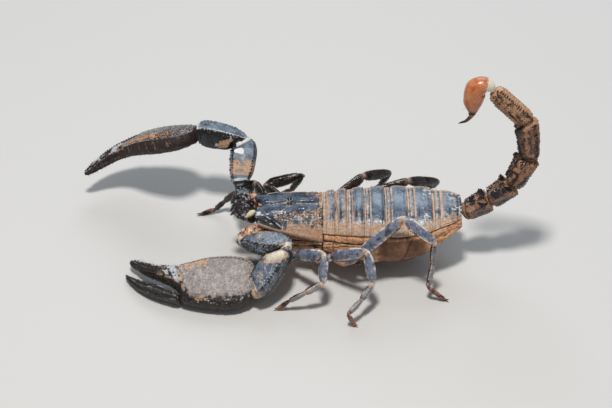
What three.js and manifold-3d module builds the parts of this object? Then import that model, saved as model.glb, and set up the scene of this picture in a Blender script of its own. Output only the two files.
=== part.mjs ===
// Asian forest scorpion, an adult female-sized animal at life size, standing in a defensive pose:
// the tail arched over the back, the right claw lifted and closed, the left claw laid on the ground.
//
// Millimetres, +Z up. The head points to -X and the animal's left side to -Y. The body is drawn with
// X = 0 at the rear edge of the carapace, Y = 0 on the midline and Z = 0 on the ground. The finished
// group is then shifted, so that the origin lies under the middle of the whole animal, on the ground.
import * as THREE from 'three';
import { mergeVertices } from 'three/addons/utils/BufferGeometryUtils.js';
import Module from 'manifold-3d';

const wasm = await Module();
wasm.setup();

// ---------------------------------------------------------------- driving dimensions

const CARAPACE_LENGTH = 16.4;
const TERGITE_LENGTHS = [2.9, 2.9, 4.2, 5.0, 5.4, 6.0, 7.4];
const CLAW_LENGTH = 33.4;
const CLAW_BOW = 2.0; // how far the claw's middle arches above the line from wrist to fingertip
const SEAM = 0.3; // clear gap between neighbouring plates and across each joint
const CARAPACE_DEPTH = 1.2; // thickness of the carapace, measured upright
const PLATE = 0.9; // thickness of a body plate
const PLATE_LAP = 0.35; // how far a back plate stands proud of the front edge of the next one
const PLATE_EDGE = 20; // degrees above the widest line at which the back plates end
const BELLY_EDGE = 28; // degrees below the widest line at which the belly plates end
const EYE_RADIUS = 0.5;
const EYE_X = -7.9; // the median eyes stand on a knob in the middle of the carapace
const EYE_Y = 0.95;
const OPEN_FINGER = 8; // degrees that the left movable finger stands open

// Half width, top, bottom and widest level of the body, each as [x, value] stations.
const BODY_HALF_WIDTH = [
  [-17.5, 5.0], [-14, 6.2], [-8, 7.7], [0, 8.9], [8, 10.0],
  [16, 10.6], [24, 9.9], [30, 7.2], [35, 4.0],
];
const BODY_TOP = [[-17.5, 15.6], [-9, 16.2], [0, 16.2], [10, 17.0], [20, 17.1], [28, 16.9], [35, 16.2]];
const BODY_BOTTOM = [
  [-17.5, 6.4], [-8, 4.4], [0, 4.6], [8, 2.3], [14, 1.9],
  [21, 3.0], [27, 6.6], [31, 9.7], [35, 12.0],
];
const BODY_WAIST = [[-17.5, 12.6], [-8, 10.8], [0, 9.8], [20, 9.4], [29, 11.8], [35, 13.8]];

// Tail: the joints in the midline plane as [x, z], and each segment's half width and half height.
const TAIL_JOINTS = [[34.8, 13.7], [40.3, 17.3], [45.4, 22.0], [48.9, 30.5], [47.6, 41.1], [39.2, 50.0]];
const TAIL_HALF_SIZES = [[2.7, 2.3], [2.5, 2.4], [2.4, 2.5], [2.25, 2.55], [2.1, 2.55]];
const TELSON_PATH = [[38.9, 50.6], [37.3, 51.9], [35.2, 50.6], [34.7, 47.0], [34.7, 43.6]];
const STING_PATH = [[34.7, 43.6], [34.4, 42.4], [33.3, 41.1], [31.6, 40.4]];

// Legs: coxa end, trochanter, knee, end of patella, of tibia, of basitarsus, and tip of the tarsus.
const LEG_JOINTS = {
  leg_left_1: [
    [-12.4, -7.4, 5.4], [-14.4, -8.6, 4.4], [-20.6, -8.2, 2.2], [-26.4, -8.4, 2.4],
    [-30.2, -8.6, 1.8], [-33.2, -9.0, 1.1], [-36.2, -9.4, 0.1],
  ],
  leg_left_2: [
    [-7.4, -8.2, 5.8], [-6.2, -9.9, 8.0], [0.3, -16.5, 13.7], [-0.1, -19.7, 8.1],
    [-4.1, -20.5, 5.6], [-7.9, -20.5, 3.0], [-10.8, -20.3, 0.05],
  ],
  leg_left_3: [
    [-0.6, -8.8, 5.7], [2.2, -10.9, 8.3], [10.4, -17.0, 15.1], [11.9, -19.5, 7.9],
    [9.1, -23.0, 5.6], [6.0, -26.0, 3.8], [7.8, -26.0, 0.0],
  ],
  leg_left_4: [
    [5.6, -9.8, 5.8], [8.4, -11.8, 9.4], [19.2, -10.5, 20.0], [26.3, -14.0, 15.6],
    [26.3, -13.8, 9.2], [25.2, -16.5, 3.8], [29.6, -17.2, 0.05],
  ],
  leg_right_1: [
    [-12.4, 7.4, 5.4], [-13.2, 8.6, 7.2], [-16.3, 13.0, 11.4], [-21.4, 14.5, 7.3],
    [-24.3, 16.0, 3.4], [-26.7, 15.3, 1.3], [-30.6, 14.6, 0.1],
  ],
  leg_right_2: [
    [-7.4, 8.2, 5.8], [-8.0, 10.0, 6.8], [-13.9, 15.4, 9.0], [-4.9, 16.8, 11.0],
    [-7.7, 18.6, 4.9], [-10.2, 20.2, 2.0], [-13.0, 20.0, 0.1],
  ],
  leg_right_3: [
    [-0.6, 8.8, 5.7], [2.2, 10.9, 7.4], [10.3, 15.5, 11.8], [17.0, 20.6, 8.6],
    [14.8, 21.3, 4.2], [12.2, 21.2, 1.6], [9.4, 22.0, 0.1],
  ],
  leg_right_4: [
    [5.6, 9.8, 5.8], [8.6, 11.6, 7.6], [21.4, 13.6, 11.8], [28.9, 17.5, 8.4],
    [28.0, 21.2, 3.9], [25.1, 22.4, 1.6], [29.0, 23.6, 0.1],
  ],
};

// Pedipalps: coxa end, end of trochanter, end of femur, wrist and fingertip, with the broad direction
// of the femur, patella and claw. The movable finger lies on the far side of that direction.
const PEDIPALPS = {
  left: {
    joints: [
      [-16.4, -4.9, 9.0], [-19.3, -7.0, 10.4], [-8.6, -12.0, 12.4], [-15.6, -18.8, 4.6], [-46.6, -8.6, 1.2],
    ],
    femurSide: [0.45, 0.87, 0],
    patellaSide: [0.72, -0.69, 0],
    clawOut: [0, -0.94, -0.34],
    hand: 1,
    size: 1,
    open: OPEN_FINGER,
  },
  right: {
    joints: [
      [-17.3, 6.1, 9.7], [-20.1, 9.4, 12.8], [-19.0, 20.4, 18.8], [-30.8, 22.2, 20.3], [-59.0, 24.0, 6.6],
    ],
    femurSide: [-1, 0, 0],
    patellaSide: [0, -0.98, 0.2],
    clawOut: [0, 0.9, -0.44],
    hand: -1,
    size: 0.95,
    open: 0,
  },
};

// ---------------------------------------------------------------- colours and finishes

const FINISHES = {
  shell: { color: 0x2c3540, roughness: 0.32, metalness: 0.0 },
  plate: { color: 0x4d5a66, roughness: 0.38, metalness: 0.0 },
  claw: { color: 0x5d5356, roughness: 0.55, metalness: 0.0 },
  tail: { color: 0x6b4a36, roughness: 0.5, metalness: 0.0 },
  venom: { color: 0xa8542c, roughness: 0.35, metalness: 0.0 },
  membrane: { color: 0xa5714c, roughness: 0.7, metalness: 0.0 },
  belly: { color: 0x6a4c38, roughness: 0.45, metalness: 0.0 },
  limb: { color: 0x2b2a2d, roughness: 0.35, metalness: 0.0 },
  fang: { color: 0x1c1410, roughness: 0.25, metalness: 0.0 },
  eye: { color: 0x050505, roughness: 0.08, metalness: 0.0 },
};

// ---------------------------------------------------------------- small helpers

const X_AXIS = new THREE.Vector3(1, 0, 0);
const UP = new THREE.Vector3(0, 0, 1);
const radians = THREE.MathUtils.degToRad;
const vector = (numbers) => new THREE.Vector3(...numbers);

// A smooth curve through [x, value] stations, level with the straight run between its neighbours.
function along(stations, x) {
  const last = stations.length - 1;
  let i = 0;
  while (i < last - 1 && x > stations[i + 1][0]) i += 1;
  const slope = (a, b) => (stations[b][1] - stations[a][1]) / (stations[b][0] - stations[a][0]);
  const start = slope(Math.max(i - 1, 0), i + 1);
  const end = slope(i, Math.min(i + 2, last));
  const run = stations[i + 1][0] - stations[i][0];
  const t = THREE.MathUtils.clamp((x - stations[i][0]) / run, 0, 1);
  const u = 1 - t;
  return u * u * (1 + 2 * t) * stations[i][1] + t * t * (3 - 2 * t) * stations[i + 1][1]
    + run * (t * u * u * start - t * t * u * end);
}

// Unit outline of a limb: a superellipse with the given number of points.
function oval(count, power = 2) {
  const bend = (value) => Math.sign(value) * Math.abs(value) ** (2 / power);
  return Array.from({ length: count }, (_, i) => {
    const angle = (2 * Math.PI * i) / count;
    return [bend(Math.cos(angle)), bend(Math.sin(angle))];
  });
}

// Outlines with keels: the flat-topped prism of the arms, and the tail's paired keels.
const PRISM = [[1, 0.2], [0.8, 0.9], [0, 1], [-0.8, 0.9], [-1, 0.2], [-0.8, -0.7], [0, -1], [0.8, -0.7]];
const KEELED = [[1, 0.1], [0.94, 0.6], [0.52, 1], [0, 0.76], [-0.52, 1], [-0.94, 0.6], [-1, 0.1],
  [-0.86, -0.55], [-0.42, -1], [0, -0.9], [0.42, -1], [0.86, -0.55]];

// A closed solid from faces on shared points, turned so that its faces point out.
function solid(points, faces) {
  let volume = 0;
  for (let i = 0; i < faces.length; i += 3) {
    const [a, b, c] = [points[faces[i]], points[faces[i + 1]], points[faces[i + 2]]];
    volume += a.dot(b.clone().cross(c));
  }
  const outward = volume > 0 ? faces : faces.slice().reverse();
  const geometry = new THREE.BufferGeometry();
  geometry.setAttribute('position', new THREE.Float32BufferAttribute(points.flatMap((p) => p.toArray()), 3));
  geometry.setIndex(outward);
  return geometry;
}

// A solid skinned over a row of rings with equally many points, closed by a fan at each end.
function skin(rings) {
  const count = rings[0].length;
  const middle = (ring) => ring.reduce((sum, p) => sum.add(p), new THREE.Vector3()).divideScalar(count);
  const points = [...rings.flat(), middle(rings[0]), middle(rings[rings.length - 1])];
  const [head, tail] = [points.length - 2, points.length - 1];
  const base = (rings.length - 1) * count;
  const faces = [];
  for (let j = 0; j < count; j += 1) {
    const next = (j + 1) % count;
    for (let start = 0; start < base; start += count) {
      faces.push(start + j, start + next, start + count + next);
      faces.push(start + j, start + count + next, start + count + j);
    }
    faces.push(head, next, j, tail, base + j, base + next);
  }
  return solid(points, faces);
}

// A solid plate between an outer and an inner grid of points of the same size.
function shell(outer, inner) {
  const [rows, columns] = [outer.length, outer[0].length];
  const points = [...outer.flat(), ...inner.flat()];
  const top = (i, j) => i * columns + j;
  const under = (i, j) => rows * columns + top(i, j);
  const faces = [];
  const quad = (a, b, c, d) => faces.push(a, b, c, a, c, d);
  for (let i = 0; i + 1 < rows; i += 1) {
    for (let j = 0; j + 1 < columns; j += 1) {
      quad(top(i, j), top(i + 1, j), top(i + 1, j + 1), top(i, j + 1));
      quad(under(i, j), under(i, j + 1), under(i + 1, j + 1), under(i + 1, j));
    }
    quad(top(i, 0), under(i, 0), under(i + 1, 0), top(i + 1, 0));
    quad(top(i, columns - 1), top(i + 1, columns - 1), under(i + 1, columns - 1), under(i, columns - 1));
  }
  for (let j = 0; j + 1 < columns; j += 1) {
    quad(top(0, j), top(0, j + 1), under(0, j + 1), under(0, j));
    quad(top(rows - 1, j), under(rows - 1, j), under(rows - 1, j + 1), top(rows - 1, j + 1));
  }
  return solid(points, faces);
}

// A ring of points round a centre, square to a normal, with its width along the side direction.
function ring(centre, normal, side, outline, halfWidth, halfHeight) {
  const up = normal.clone().cross(side).normalize();
  const across = up.clone().cross(normal).normalize();
  return outline.map(([y, z]) => centre.clone()
    .addScaledVector(across, y * halfWidth)
    .addScaledVector(up, z * halfHeight));
}

// One length of a limb along a path of joints. Each span has stations [share of its length, half width,
// half height]. Rings at a joint lie in the plane that halves the bend, so that neighbours meet face to
// face, and half a seam is left open at each end that has a neighbour.
function limb({ path, spans, side, outline, before = null, after = null }) {
  const reach = 0.3; // share of a span over which its rings turn towards the plane of the joint
  const direction = (a, b) => b.clone().sub(a).normalize();
  const runs = spans.map((_, i) => direction(path[i], path[i + 1]));
  const first = before ? direction(before, path[0]) : runs[0];
  const last = after ? direction(path[path.length - 1], after) : runs[runs.length - 1];
  const turns = [first, ...runs, last];
  const planes = path.map((_, i) => turns[i].clone().add(turns[i + 1]).normalize());
  const rings = [];
  spans.forEach((stations, i) => {
    const start = path[i].clone();
    const end = path[i + 1].clone();
    if (i === 0 && before) start.addScaledVector(planes[0], SEAM / 2);
    if (i === spans.length - 1 && after) end.addScaledVector(planes[i + 1], -SEAM / 2);
    stations.forEach(([t, halfWidth, halfHeight]) => {
      const normal = runs[i].clone()
        .addScaledVector(planes[i].clone().sub(runs[i]), Math.max(0, 1 - t / reach))
        .addScaledVector(planes[i + 1].clone().sub(runs[i]), Math.max(0, 1 - (1 - t) / reach))
        .normalize();
      rings.push(ring(start.clone().lerp(end, t), normal, side, outline, halfWidth, halfHeight));
    });
  });
  return skin(rings);
}

function toManifold(geometry) {
  const bare = geometry.clone();
  bare.deleteAttribute('normal');
  bare.deleteAttribute('uv');
  const merged = mergeVertices(bare, 1e-4);
  const vertProperties = new Float32Array(merged.attributes.position.array);
  const triVerts = new Uint32Array(merged.index.array);
  return new wasm.Manifold(new wasm.Mesh({ numProp: 3, vertProperties, triVerts }));
}

function fromManifold(manifold) {
  const mesh = manifold.getMesh();
  const geometry = new THREE.BufferGeometry();
  geometry.setAttribute('position', new THREE.BufferAttribute(mesh.vertProperties, 3));
  geometry.setIndex(new THREE.BufferAttribute(mesh.triVerts, 1));
  return geometry;
}

const joined = (geometries) => fromManifold(geometries.map(toManifold).reduce((a, b) => a.add(b)));
const without = (geometry, cutter) => fromManifold(toManifold(geometry).subtract(toManifold(cutter)));

// What touches the ground is cut level with it, which leaves small flats.
function levelled(geometry) {
  const size = 150;
  return without(geometry, new THREE.BoxGeometry(size, size, size).translate(0, 0, -size / 2));
}

const parts = [];

function add(name, finish, geometry) {
  const material = new THREE.MeshStandardMaterial(FINISHES[finish]);
  const mesh = new THREE.Mesh(geometry, material);
  mesh.name = name;
  parts.push(mesh);
  return mesh;
}

// ---------------------------------------------------------------- body surface

const BODY_POWER = 2.3;

// A point of the body's cross-section at x. The angle runs from 0 on the right side over the back at 90
// to 180 on the left side, and negative angles run under the belly. Inset moves the point inwards.
function bodyPoint(x, degrees, inset = 0) {
  const bend = (value) => Math.sign(value) * Math.abs(value) ** (2 / BODY_POWER);
  const waist = along(BODY_WAIST, x);
  const rise = degrees >= 0 ? along(BODY_TOP, x) - waist : waist - along(BODY_BOTTOM, x);
  const across = bend(Math.cos(radians(degrees)));
  const upward = bend(Math.sin(radians(degrees)));
  return vector([x, (along(BODY_HALF_WIDTH, x) - inset) * across, waist + (rise - inset) * upward]);
}

function spread(from, to, steps) {
  return Array.from({ length: steps + 1 }, (_, i) => from + ((to - from) * i) / steps);
}

// ---------------------------------------------------------------- carapace and its eyes

// Height of the carapace over a point: a low vault with a furrow along the midline, two long swellings
// beside it, and the raised knob that carries the median eyes.
function carapaceHeight(x, y) {
  const share = Math.abs(y) / along(BODY_HALF_WIDTH, x);
  const top = along(BODY_TOP, x);
  const edge = along([[-CARAPACE_LENGTH, 15.0], [-11, 13.6], [0, 12.0]], x);
  const vault = edge + (top - edge) * (1 - share ** 2.6);
  const furrow = 0.5 * Math.exp(-((y / 0.8) ** 2));
  const knob = 0.75 * Math.exp(-(((x - EYE_X) / 1.5) ** 2) - (y / 1.25) ** 2);
  return vault - furrow + knob;
}

// The front edge is notched at the midline and rounded at its corners.
function carapaceX(t, share) {
  const front = -CARAPACE_LENGTH + 2.2 * Math.exp(-((share / 0.3) ** 2)) + 1.0 * share ** 6;
  return front + (0 - SEAM / 2 - front) * t;
}

// The carapace's surface lowered by drop, with its front edge moved ahead.
function carapaceGrid(drop, ahead = 0) {
  return spread(0, 1, 9).map((t) => spread(-1, 1, 12).map((share) => {
    const x = carapaceX(t, share) - ahead * (1 - t);
    const y = share * along(BODY_HALF_WIDTH, x);
    return vector([x, y, carapaceHeight(x, y) - drop]);
  }));
}

function buildCarapace() {
  let carapace = shell(carapaceGrid(0), carapaceGrid(CARAPACE_DEPTH));
  for (const side of [-1, 1]) {
    const y = EYE_Y * side;
    const centre = vector([EYE_X, y, carapaceHeight(EYE_X, y) + 0.05]);
    const socket = new THREE.SphereGeometry(EYE_RADIUS + 0.06, 8, 6);
    carapace = without(carapace, socket.translate(...centre.toArray()));
    const eye = new THREE.SphereGeometry(EYE_RADIUS, 8, 6).translate(...centre.toArray());
    add(side < 0 ? 'eye_left' : 'eye_right', 'eye', mergeVertices(bareGeometry(eye), 1e-4));
  }
  add('carapace', 'shell', carapace);
}

function bareGeometry(geometry) {
  geometry.deleteAttribute('normal');
  geometry.deleteAttribute('uv');
  return geometry;
}

// ---------------------------------------------------------------- head and coxae under the carapace

// The point inside the front body from which a leg's coxa runs out to its hip.
function coxaRoot([hip]) {
  return vector([Math.min(hip[0] - 2.4, -1.6), hip[1] * 0.4, 6.4]);
}

// The coxa of one leg, made larger all round by grow.
function coxaStrut(joints, grow) {
  const widen = ([t, halfWidth, halfHeight]) => [t, halfWidth + grow, halfHeight + grow];
  return limb({
    path: [coxaRoot(joints), vector(joints[0])],
    spans: [[[0, 1.3, 1.5], [0.6, 1.4, 1.4], [1, 1.1, 1.2]].map(widen)],
    side: X_AXIS,
    outline: oval(8),
    after: grow ? null : vector(joints[1]),
  });
}

// The front body under the carapace, with the leg coxae standing out from its sides.
function buildCoxae() {
  const clearance = CARAPACE_DEPTH + 0.2 + SEAM;
  const stations = [-15.2, -13, -10, -6, -2.5, -SEAM];
  const rings = stations.map((x) => {
    const half = along(BODY_HALF_WIDTH, x) - 1.1;
    const over = spread(0.97, -0.97, 8).map((share) => {
      const y = share * half;
      return vector([x, y, carapaceHeight(x, y * 1.08) - clearance]);
    });
    const under = spread(195, 345, 6).map((angle) => bodyPoint(x, angle - 360, 1.1));
    return [...over, ...under];
  });
  const struts = Object.values(LEG_JOINTS).map((joints) => coxaStrut(joints, 0));
  const lip = limb({
    path: [vector([-15.6, 0, 8.2]), vector([-10, 0, 7.0])],
    spans: [[[0, 2.2, 1.2], [0.3, 3.6, 2.0], [1, 4.4, 2.4]]],
    side: UP.clone().cross(X_AXIS),
    outline: oval(8),
  });
  add('coxae', 'shell', joined([skin(rings), ...struts, lip]));
}

// Each chelicera is a stout block under the front edge, ending in two short fangs.
function buildChelicera(name, side) {
  const y = side * 1.85;
  const across = UP.clone().cross(X_AXIS);
  const block = limb({
    path: [vector([-16.3, y, 12.4]), vector([-20.5, y * 1.05, 16.6])],
    spans: [[[0, 1.2, 1.2], [0.3, 1.55, 1.75], [0.7, 1.65, 2.0], [0.93, 1.4, 1.6], [1, 0.9, 1.0]]],
    side: across,
    outline: oval(10, 2.3),
  });
  const fang = (height, lean) => limb({
    path: [
      vector([-19.8, y + side * lean, 16.1 + height]),
      vector([-21.2, y + side * lean, 16.0 + height * 0.9]),
      vector([-22.1, y + side * lean * 0.6, 14.6 + height * 0.5]),
    ],
    spans: [[[0, 0.7, 0.7], [0.6, 0.6, 0.6]], [[0, 0.5, 0.5], [1, 0.25, 0.25]]],
    side: across,
    outline: oval(6),
  });
  const carapaceRoom = shell(carapaceGrid(-SEAM, SEAM), carapaceGrid(CARAPACE_DEPTH + SEAM, SEAM));
  add(name, 'fang', without(joined([block, fang(0.8, -0.35), fang(-0.9, 0.45)]), carapaceRoom));
}

// ---------------------------------------------------------------- back plates, sides and belly

function plateRow(x, fromAngle, toAngle, steps, inset) {
  return spread(fromAngle, toAngle, steps).map((angle) => bodyPoint(x, angle, inset));
}

function buildTergites() {
  let start = 0;
  TERGITE_LENGTHS.forEach((length, i) => {
    const [front, rear] = [start + SEAM / 2, start + length - SEAM / 2];
    const rows = [[front, PLATE_LAP], [front + 0.3 * length, 0.12], [rear, 0]];
    const row = (x, inset) => plateRow(x, PLATE_EDGE, 180 - PLATE_EDGE, 10, inset);
    const grid = (depth) => rows.map(([x, inset]) => row(x, inset + depth));
    add(`tergite_${i + 1}`, 'plate', shell(grid(0), grid(PLATE - PLATE_LAP)));
    start += length;
  });
  return start;
}

// The soft body inside the plates shows as folded skin between the back plates and the belly plates.
function buildPleura(rear) {
  const hidden = PLATE + SEAM;
  const folds = [0.1, 0.3, 0.1];
  const stations = spread(SEAM, rear - 0.2, 12);
  const rings = stations.map((x) => {
    const angles = [
      ...spread(PLATE_EDGE, 180 - PLATE_EDGE, 6).map((angle) => [angle, hidden]),
      [180 - PLATE_EDGE + 7, folds[0]], [180, folds[1]], [180 + BELLY_EDGE - 8, folds[2]],
      ...spread(180 + BELLY_EDGE, 360 - BELLY_EDGE, 6).map((angle) => [angle, hidden]),
      [360 - BELLY_EDGE + 8, folds[2]], [360, folds[1]], [PLATE_EDGE - 7, folds[0]],
    ];
    return angles.map(([angle, inset]) => bodyPoint(x, angle > 180 ? angle - 360 : angle, inset));
  });
  const rearCoxae = Object.entries(LEG_JOINTS).filter(([name]) => /[34]$/.test(name));
  const cutters = rearCoxae.map(([, joints]) => coxaStrut(joints, SEAM));
  add('pleura', 'membrane', cutters.reduce(without, skin(rings)));
}

// The belly plates, joined in one piece, each a little proud of the one behind it.
function buildBelly() {
  const edges = [6.5, 11.5, 17, 22.5, 28, 34.2];
  const rows = [];
  for (let i = 0; i + 1 < edges.length; i += 1) {
    rows.push([edges[i], i ? 0.3 : 0.1], [edges[i + 1] - 0.5, 0]);
  }
  const row = (x, inset) => plateRow(x, -180 + BELLY_EDGE, -BELLY_EDGE, 10, inset);
  const grid = (depth) => rows.map(([x, inset]) => row(x, inset + depth));
  const combTooth = (side) => limb({
    path: [vector([4.2, side * 1.2, 1.9]), vector([8.4, side * 6.6, 2.1])],
    spans: [[[0, 0.5, 0.3], [0.3, 0.9, 0.4], [0.8, 0.9, 0.4], [1, 0.4, 0.25]]],
    side: X_AXIS,
    outline: oval(6),
  });
  add('belly', 'belly', shell(grid(0), grid(PLATE - 0.35)));
  add('pecten_left', 'membrane', combTooth(-1).translate(0, 0, -0.5));
  add('pecten_right', 'membrane', combTooth(1).translate(0, 0, -0.5));
}

// ---------------------------------------------------------------- tail and sting

function buildTail() {
  const joints = TAIL_JOINTS.map(([x, z]) => vector([x, 0, z]));
  const side = UP.clone().cross(X_AXIS);
  const root = vector([TAIL_JOINTS[0][0] - 5, 0, TAIL_JOINTS[0][1] - 1.5]);
  const profile = [[0, 0.62, 0.6], [0.13, 0.84, 0.8], [0.5, 1, 0.98], [0.82, 1, 1.1], [1, 0.7, 0.68]];
  TAIL_HALF_SIZES.forEach(([halfWidth, halfHeight], i) => {
    const stations = profile.map(([t, w, h]) => [t, w * halfWidth, h * halfHeight]);
    add(`tail_${i + 1}`, 'tail', limb({
      path: [joints[i], joints[i + 1]],
      spans: [stations],
      side,
      outline: KEELED,
      before: i ? joints[i - 1] : root,
      after: joints[i + 2] ?? vector([TELSON_PATH[1][0], 0, TELSON_PATH[1][1]]),
    }));
  });
  const bulb = TELSON_PATH.map(([x, z]) => vector([x, 0, z]));
  const bulbSizes = [
    [[0, 1.2, 1.3], [0.5, 1.5, 1.5]],
    [[0.2, 2.0, 1.9]],
    [[0, 2.4, 2.4], [0.5, 2.45, 2.5]],
    [[0.1, 2.1, 2.2], [0.6, 1.4, 1.6], [1, 0.9, 1.0]],
  ];
  const tip = STING_PATH.map(([x, z]) => vector([x, 0, z]));
  add('telson', 'venom', limb({
    path: bulb, spans: bulbSizes, side, outline: oval(12), before: joints[4], after: tip[1],
  }));
  add('sting', 'fang', limb({
    path: tip,
    spans: [[[0, 0.85, 0.95], [0.6, 0.68, 0.75]], [[0, 0.6, 0.66]], [[0, 0.45, 0.48], [1, 0.25, 0.25]]],
    side,
    outline: oval(8),
    before: bulb[3],
  }));
}

// ---------------------------------------------------------------- legs

const FEMUR_STATIONS = [
  [[0, 0.8, 0.9], [0.5, 1.05, 1.2]],
  [[0, 0.9, 1.15], [0.2, 1.0, 1.5], [0.8, 1.0, 1.5], [1, 0.75, 1.0]],
];
const PATELLA_STATIONS = [[[0, 0.75, 0.95], [0.25, 1.0, 1.45], [0.75, 0.95, 1.3], [1, 0.6, 0.75]]];
const FOOT_STATIONS = [
  [[0, 0.55, 0.65], [0.3, 0.7, 0.85], [0.8, 0.65, 0.75]],
  [[0, 0.5, 0.55], [0.4, 0.55, 0.65], [0.85, 0.5, 0.55]],
  [[0, 0.4, 0.42], [0.3, 0.5, 0.55], [0.8, 0.45, 0.5], [1, 0.3, 0.3]],
];

function buildLeg(name, points) {
  const joints = points.map(vector);
  const heading = joints[2].clone().sub(joints[0]).setZ(0).normalize();
  const side = UP.clone().cross(heading);
  const outline = oval(8);
  const length = (from, to, spans, before) => limb({
    path: joints.slice(from, to + 1), spans, side, outline, before, after: joints[to + 1],
  });
  add(`${name}_femur`, 'limb', length(0, 2, FEMUR_STATIONS, coxaRoot(points)));
  add(`${name}_patella`, 'limb', length(2, 3, PATELLA_STATIONS, joints[1]));
  add(`${name}_foot`, 'limb', levelled(length(3, 6, FOOT_STATIONS, joints[2])));
}

// ---------------------------------------------------------------- pedipalps and claws

// Claw seen from above, along its length: inner edge, outer edge and half thickness of the hand with its
// fixed finger, then of the movable finger when it is shut.
const HAND_STATIONS = [
  [0.3, -2.2, 2.2, 1.7], [1.2, -4.6, 4.0, 2.3], [3.6, -6.7, 6.0, 2.55], [7, -6.9, 7.1, 2.9],
  [11, -6.0, 7.6, 3.0], [14.2, -4.8, 7.6, 2.85], [16.4, -3.6, 7.2, 2.6], [17.3, -3.2, 5.3, 2.4],
  [20.0, -2.0, 3.6, 2.0], [23.5, -1.3, 2.5, 1.7], [27.5, -1.5, 1.3, 1.5], [31, -2.2, -0.3, 1.1],
  [33.4, -2.3, -1.6, 0.4],
];
const FINGER_STATIONS = [
  [17.6, 5.6, 7.6, 1.3], [18.6, 5.0, 7.5, 1.6], [20.4, 4.1, 7.1, 1.6], [23.0, 3.0, 6.4, 1.55],
  [26.6, 1.9, 4.9, 1.5], [29.4, 0.8, 2.9, 1.2], [31.4, -0.1, 1.0, 0.7], [32.4, -0.8, -0.2, 0.3],
];
const FINGER_HINGE = [16.9, 7.0];

// A claw piece in the claw's own frame: x along it, y to its outer side, which hand turns to -y for the
// right claw, and z through its thickness. Swing turns it about the hinge of the movable finger.
function clawPiece(stations, hand, swing) {
  const outline = oval(12, 2.2);
  const rings = stations.map(([x, inner, outer, half]) => {
    const bow = CLAW_BOW * Math.sin(Math.PI * Math.min(x / CLAW_LENGTH, 1) ** 1.3);
    const centre = vector([x, (hand * (inner + outer)) / 2, bow]);
    return outline.map(([y, z]) => centre.clone().add(vector([0, y * (outer - inner) / 2, z * half])));
  });
  const [hx, hy] = FINGER_HINGE;
  return skin(rings)
    .translate(-hx, -hy * hand, 0)
    .rotateZ(radians(swing * hand))
    .translate(hx, hy * hand, 0);
}

// The room that a limb's length takes up with a seam all round it, to be cut out of its neighbour.
function room(piece) {
  const widen = ([t, halfWidth, halfHeight]) => [t, halfWidth + SEAM, halfHeight + SEAM];
  const ends = { before: null, after: null };
  return limb({ ...piece, spans: piece.spans.map((stations) => stations.map(widen)), ...ends });
}

function buildPedipalp(name, { joints, femurSide, patellaSide, clawOut, hand, size, open }) {
  const [coxa, elbow, knee, wrist, tip] = joints.map(vector);
  const trochanter = {
    path: [coxa, elbow],
    spans: [[[0, 1.9, 1.9], [0.45, 2.4, 2.3], [1, 1.3, 1.4]]],
    side: vector(femurSide),
    outline: oval(10, 2.2),
    after: knee,
  };
  const femur = {
    path: [elbow, knee],
    spans: [[
      [0, 1.2, 1.1], [0.16, 2.1, 1.7], [0.35, 2.8, 2.0], [0.75, 3.2, 2.1], [0.9, 2.7, 1.8], [1, 1.5, 1.2],
    ]],
    side: vector(femurSide),
    outline: PRISM,
    before: coxa,
    after: wrist,
  };
  const patella = {
    path: [knee, wrist],
    spans: [[
      [0, 1.3, 1.3], [0.14, 2.2, 1.9], [0.35, 3.0, 2.6], [0.75, 3.2, 2.9], [0.93, 2.7, 2.6], [1, 2.0, 2.1],
    ]],
    side: vector(patellaSide),
    outline: PRISM,
    before: elbow,
    after: tip,
  };
  const femurRoom = room(femur);
  const patellaRoom = room(patella);
  add(`${name}_trochanter`, 'shell', without(limb(trochanter), femurRoom));
  add(`${name}_femur`, 'shell', without(limb(femur), patellaRoom));
  add(`${name}_patella`, 'shell', limb(patella));

  const length = tip.clone().sub(wrist).normalize();
  const across = vector(clawOut).multiplyScalar(hand);
  across.addScaledVector(length, -across.dot(length)).normalize();
  const frame = new THREE.Matrix4().makeBasis(length, across, length.clone().cross(across));
  frame.scale(vector([size, size, size])).setPosition(wrist);
  const palm = clawPiece(HAND_STATIONS, hand, 0).applyMatrix4(frame);
  const finger = clawPiece(FINGER_STATIONS, hand, open).applyMatrix4(frame);
  add(`${name}_hand`, 'claw', levelled(without(palm, patellaRoom)));
  add(`${name}_finger`, 'claw', levelled(finger));
}

// ---------------------------------------------------------------- the animal

buildCarapace();
buildCoxae();
buildChelicera('chelicera_left', -1);
buildChelicera('chelicera_right', 1);
const bodyEnd = buildTergites();
buildPleura(bodyEnd);
buildBelly();
buildTail();
Object.entries(PEDIPALPS).forEach(([side, arm]) => buildPedipalp(`pedipalp_${side}`, arm));
Object.entries(LEG_JOINTS).forEach(([name, points]) => buildLeg(name, points));

const scorpion = new THREE.Group();
scorpion.add(...parts);
const bounds = new THREE.Box3().setFromObject(scorpion);
const middle = bounds.getCenter(new THREE.Vector3());
scorpion.position.set(-middle.x, -middle.y, -bounds.min.z);
scorpion.updateMatrixWorld(true);

export default scorpion;
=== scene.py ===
"""Looks of the forest scorpion: every plate, limb and claw as a finely modelled piece round the solids.

Lengths are millimetres in the body's own frame, with X = 0 at the rear edge of the carapace, Y = 0 on the
midline, Z = 0 on the ground and the head towards -X. A piece is shifted into the frame of the solids, in
metres, when it is made. Each point of a piece carries four amounts from 0 to 1, dust, dark, pale and matte,
which its material turns into colour and roughness. Beside real colour, the dust amount also carries painted
gloss streaks and painted light on fold crests, the dark amount painted shade, and the pale amount painted
highlights and glints."""
import math

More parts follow.
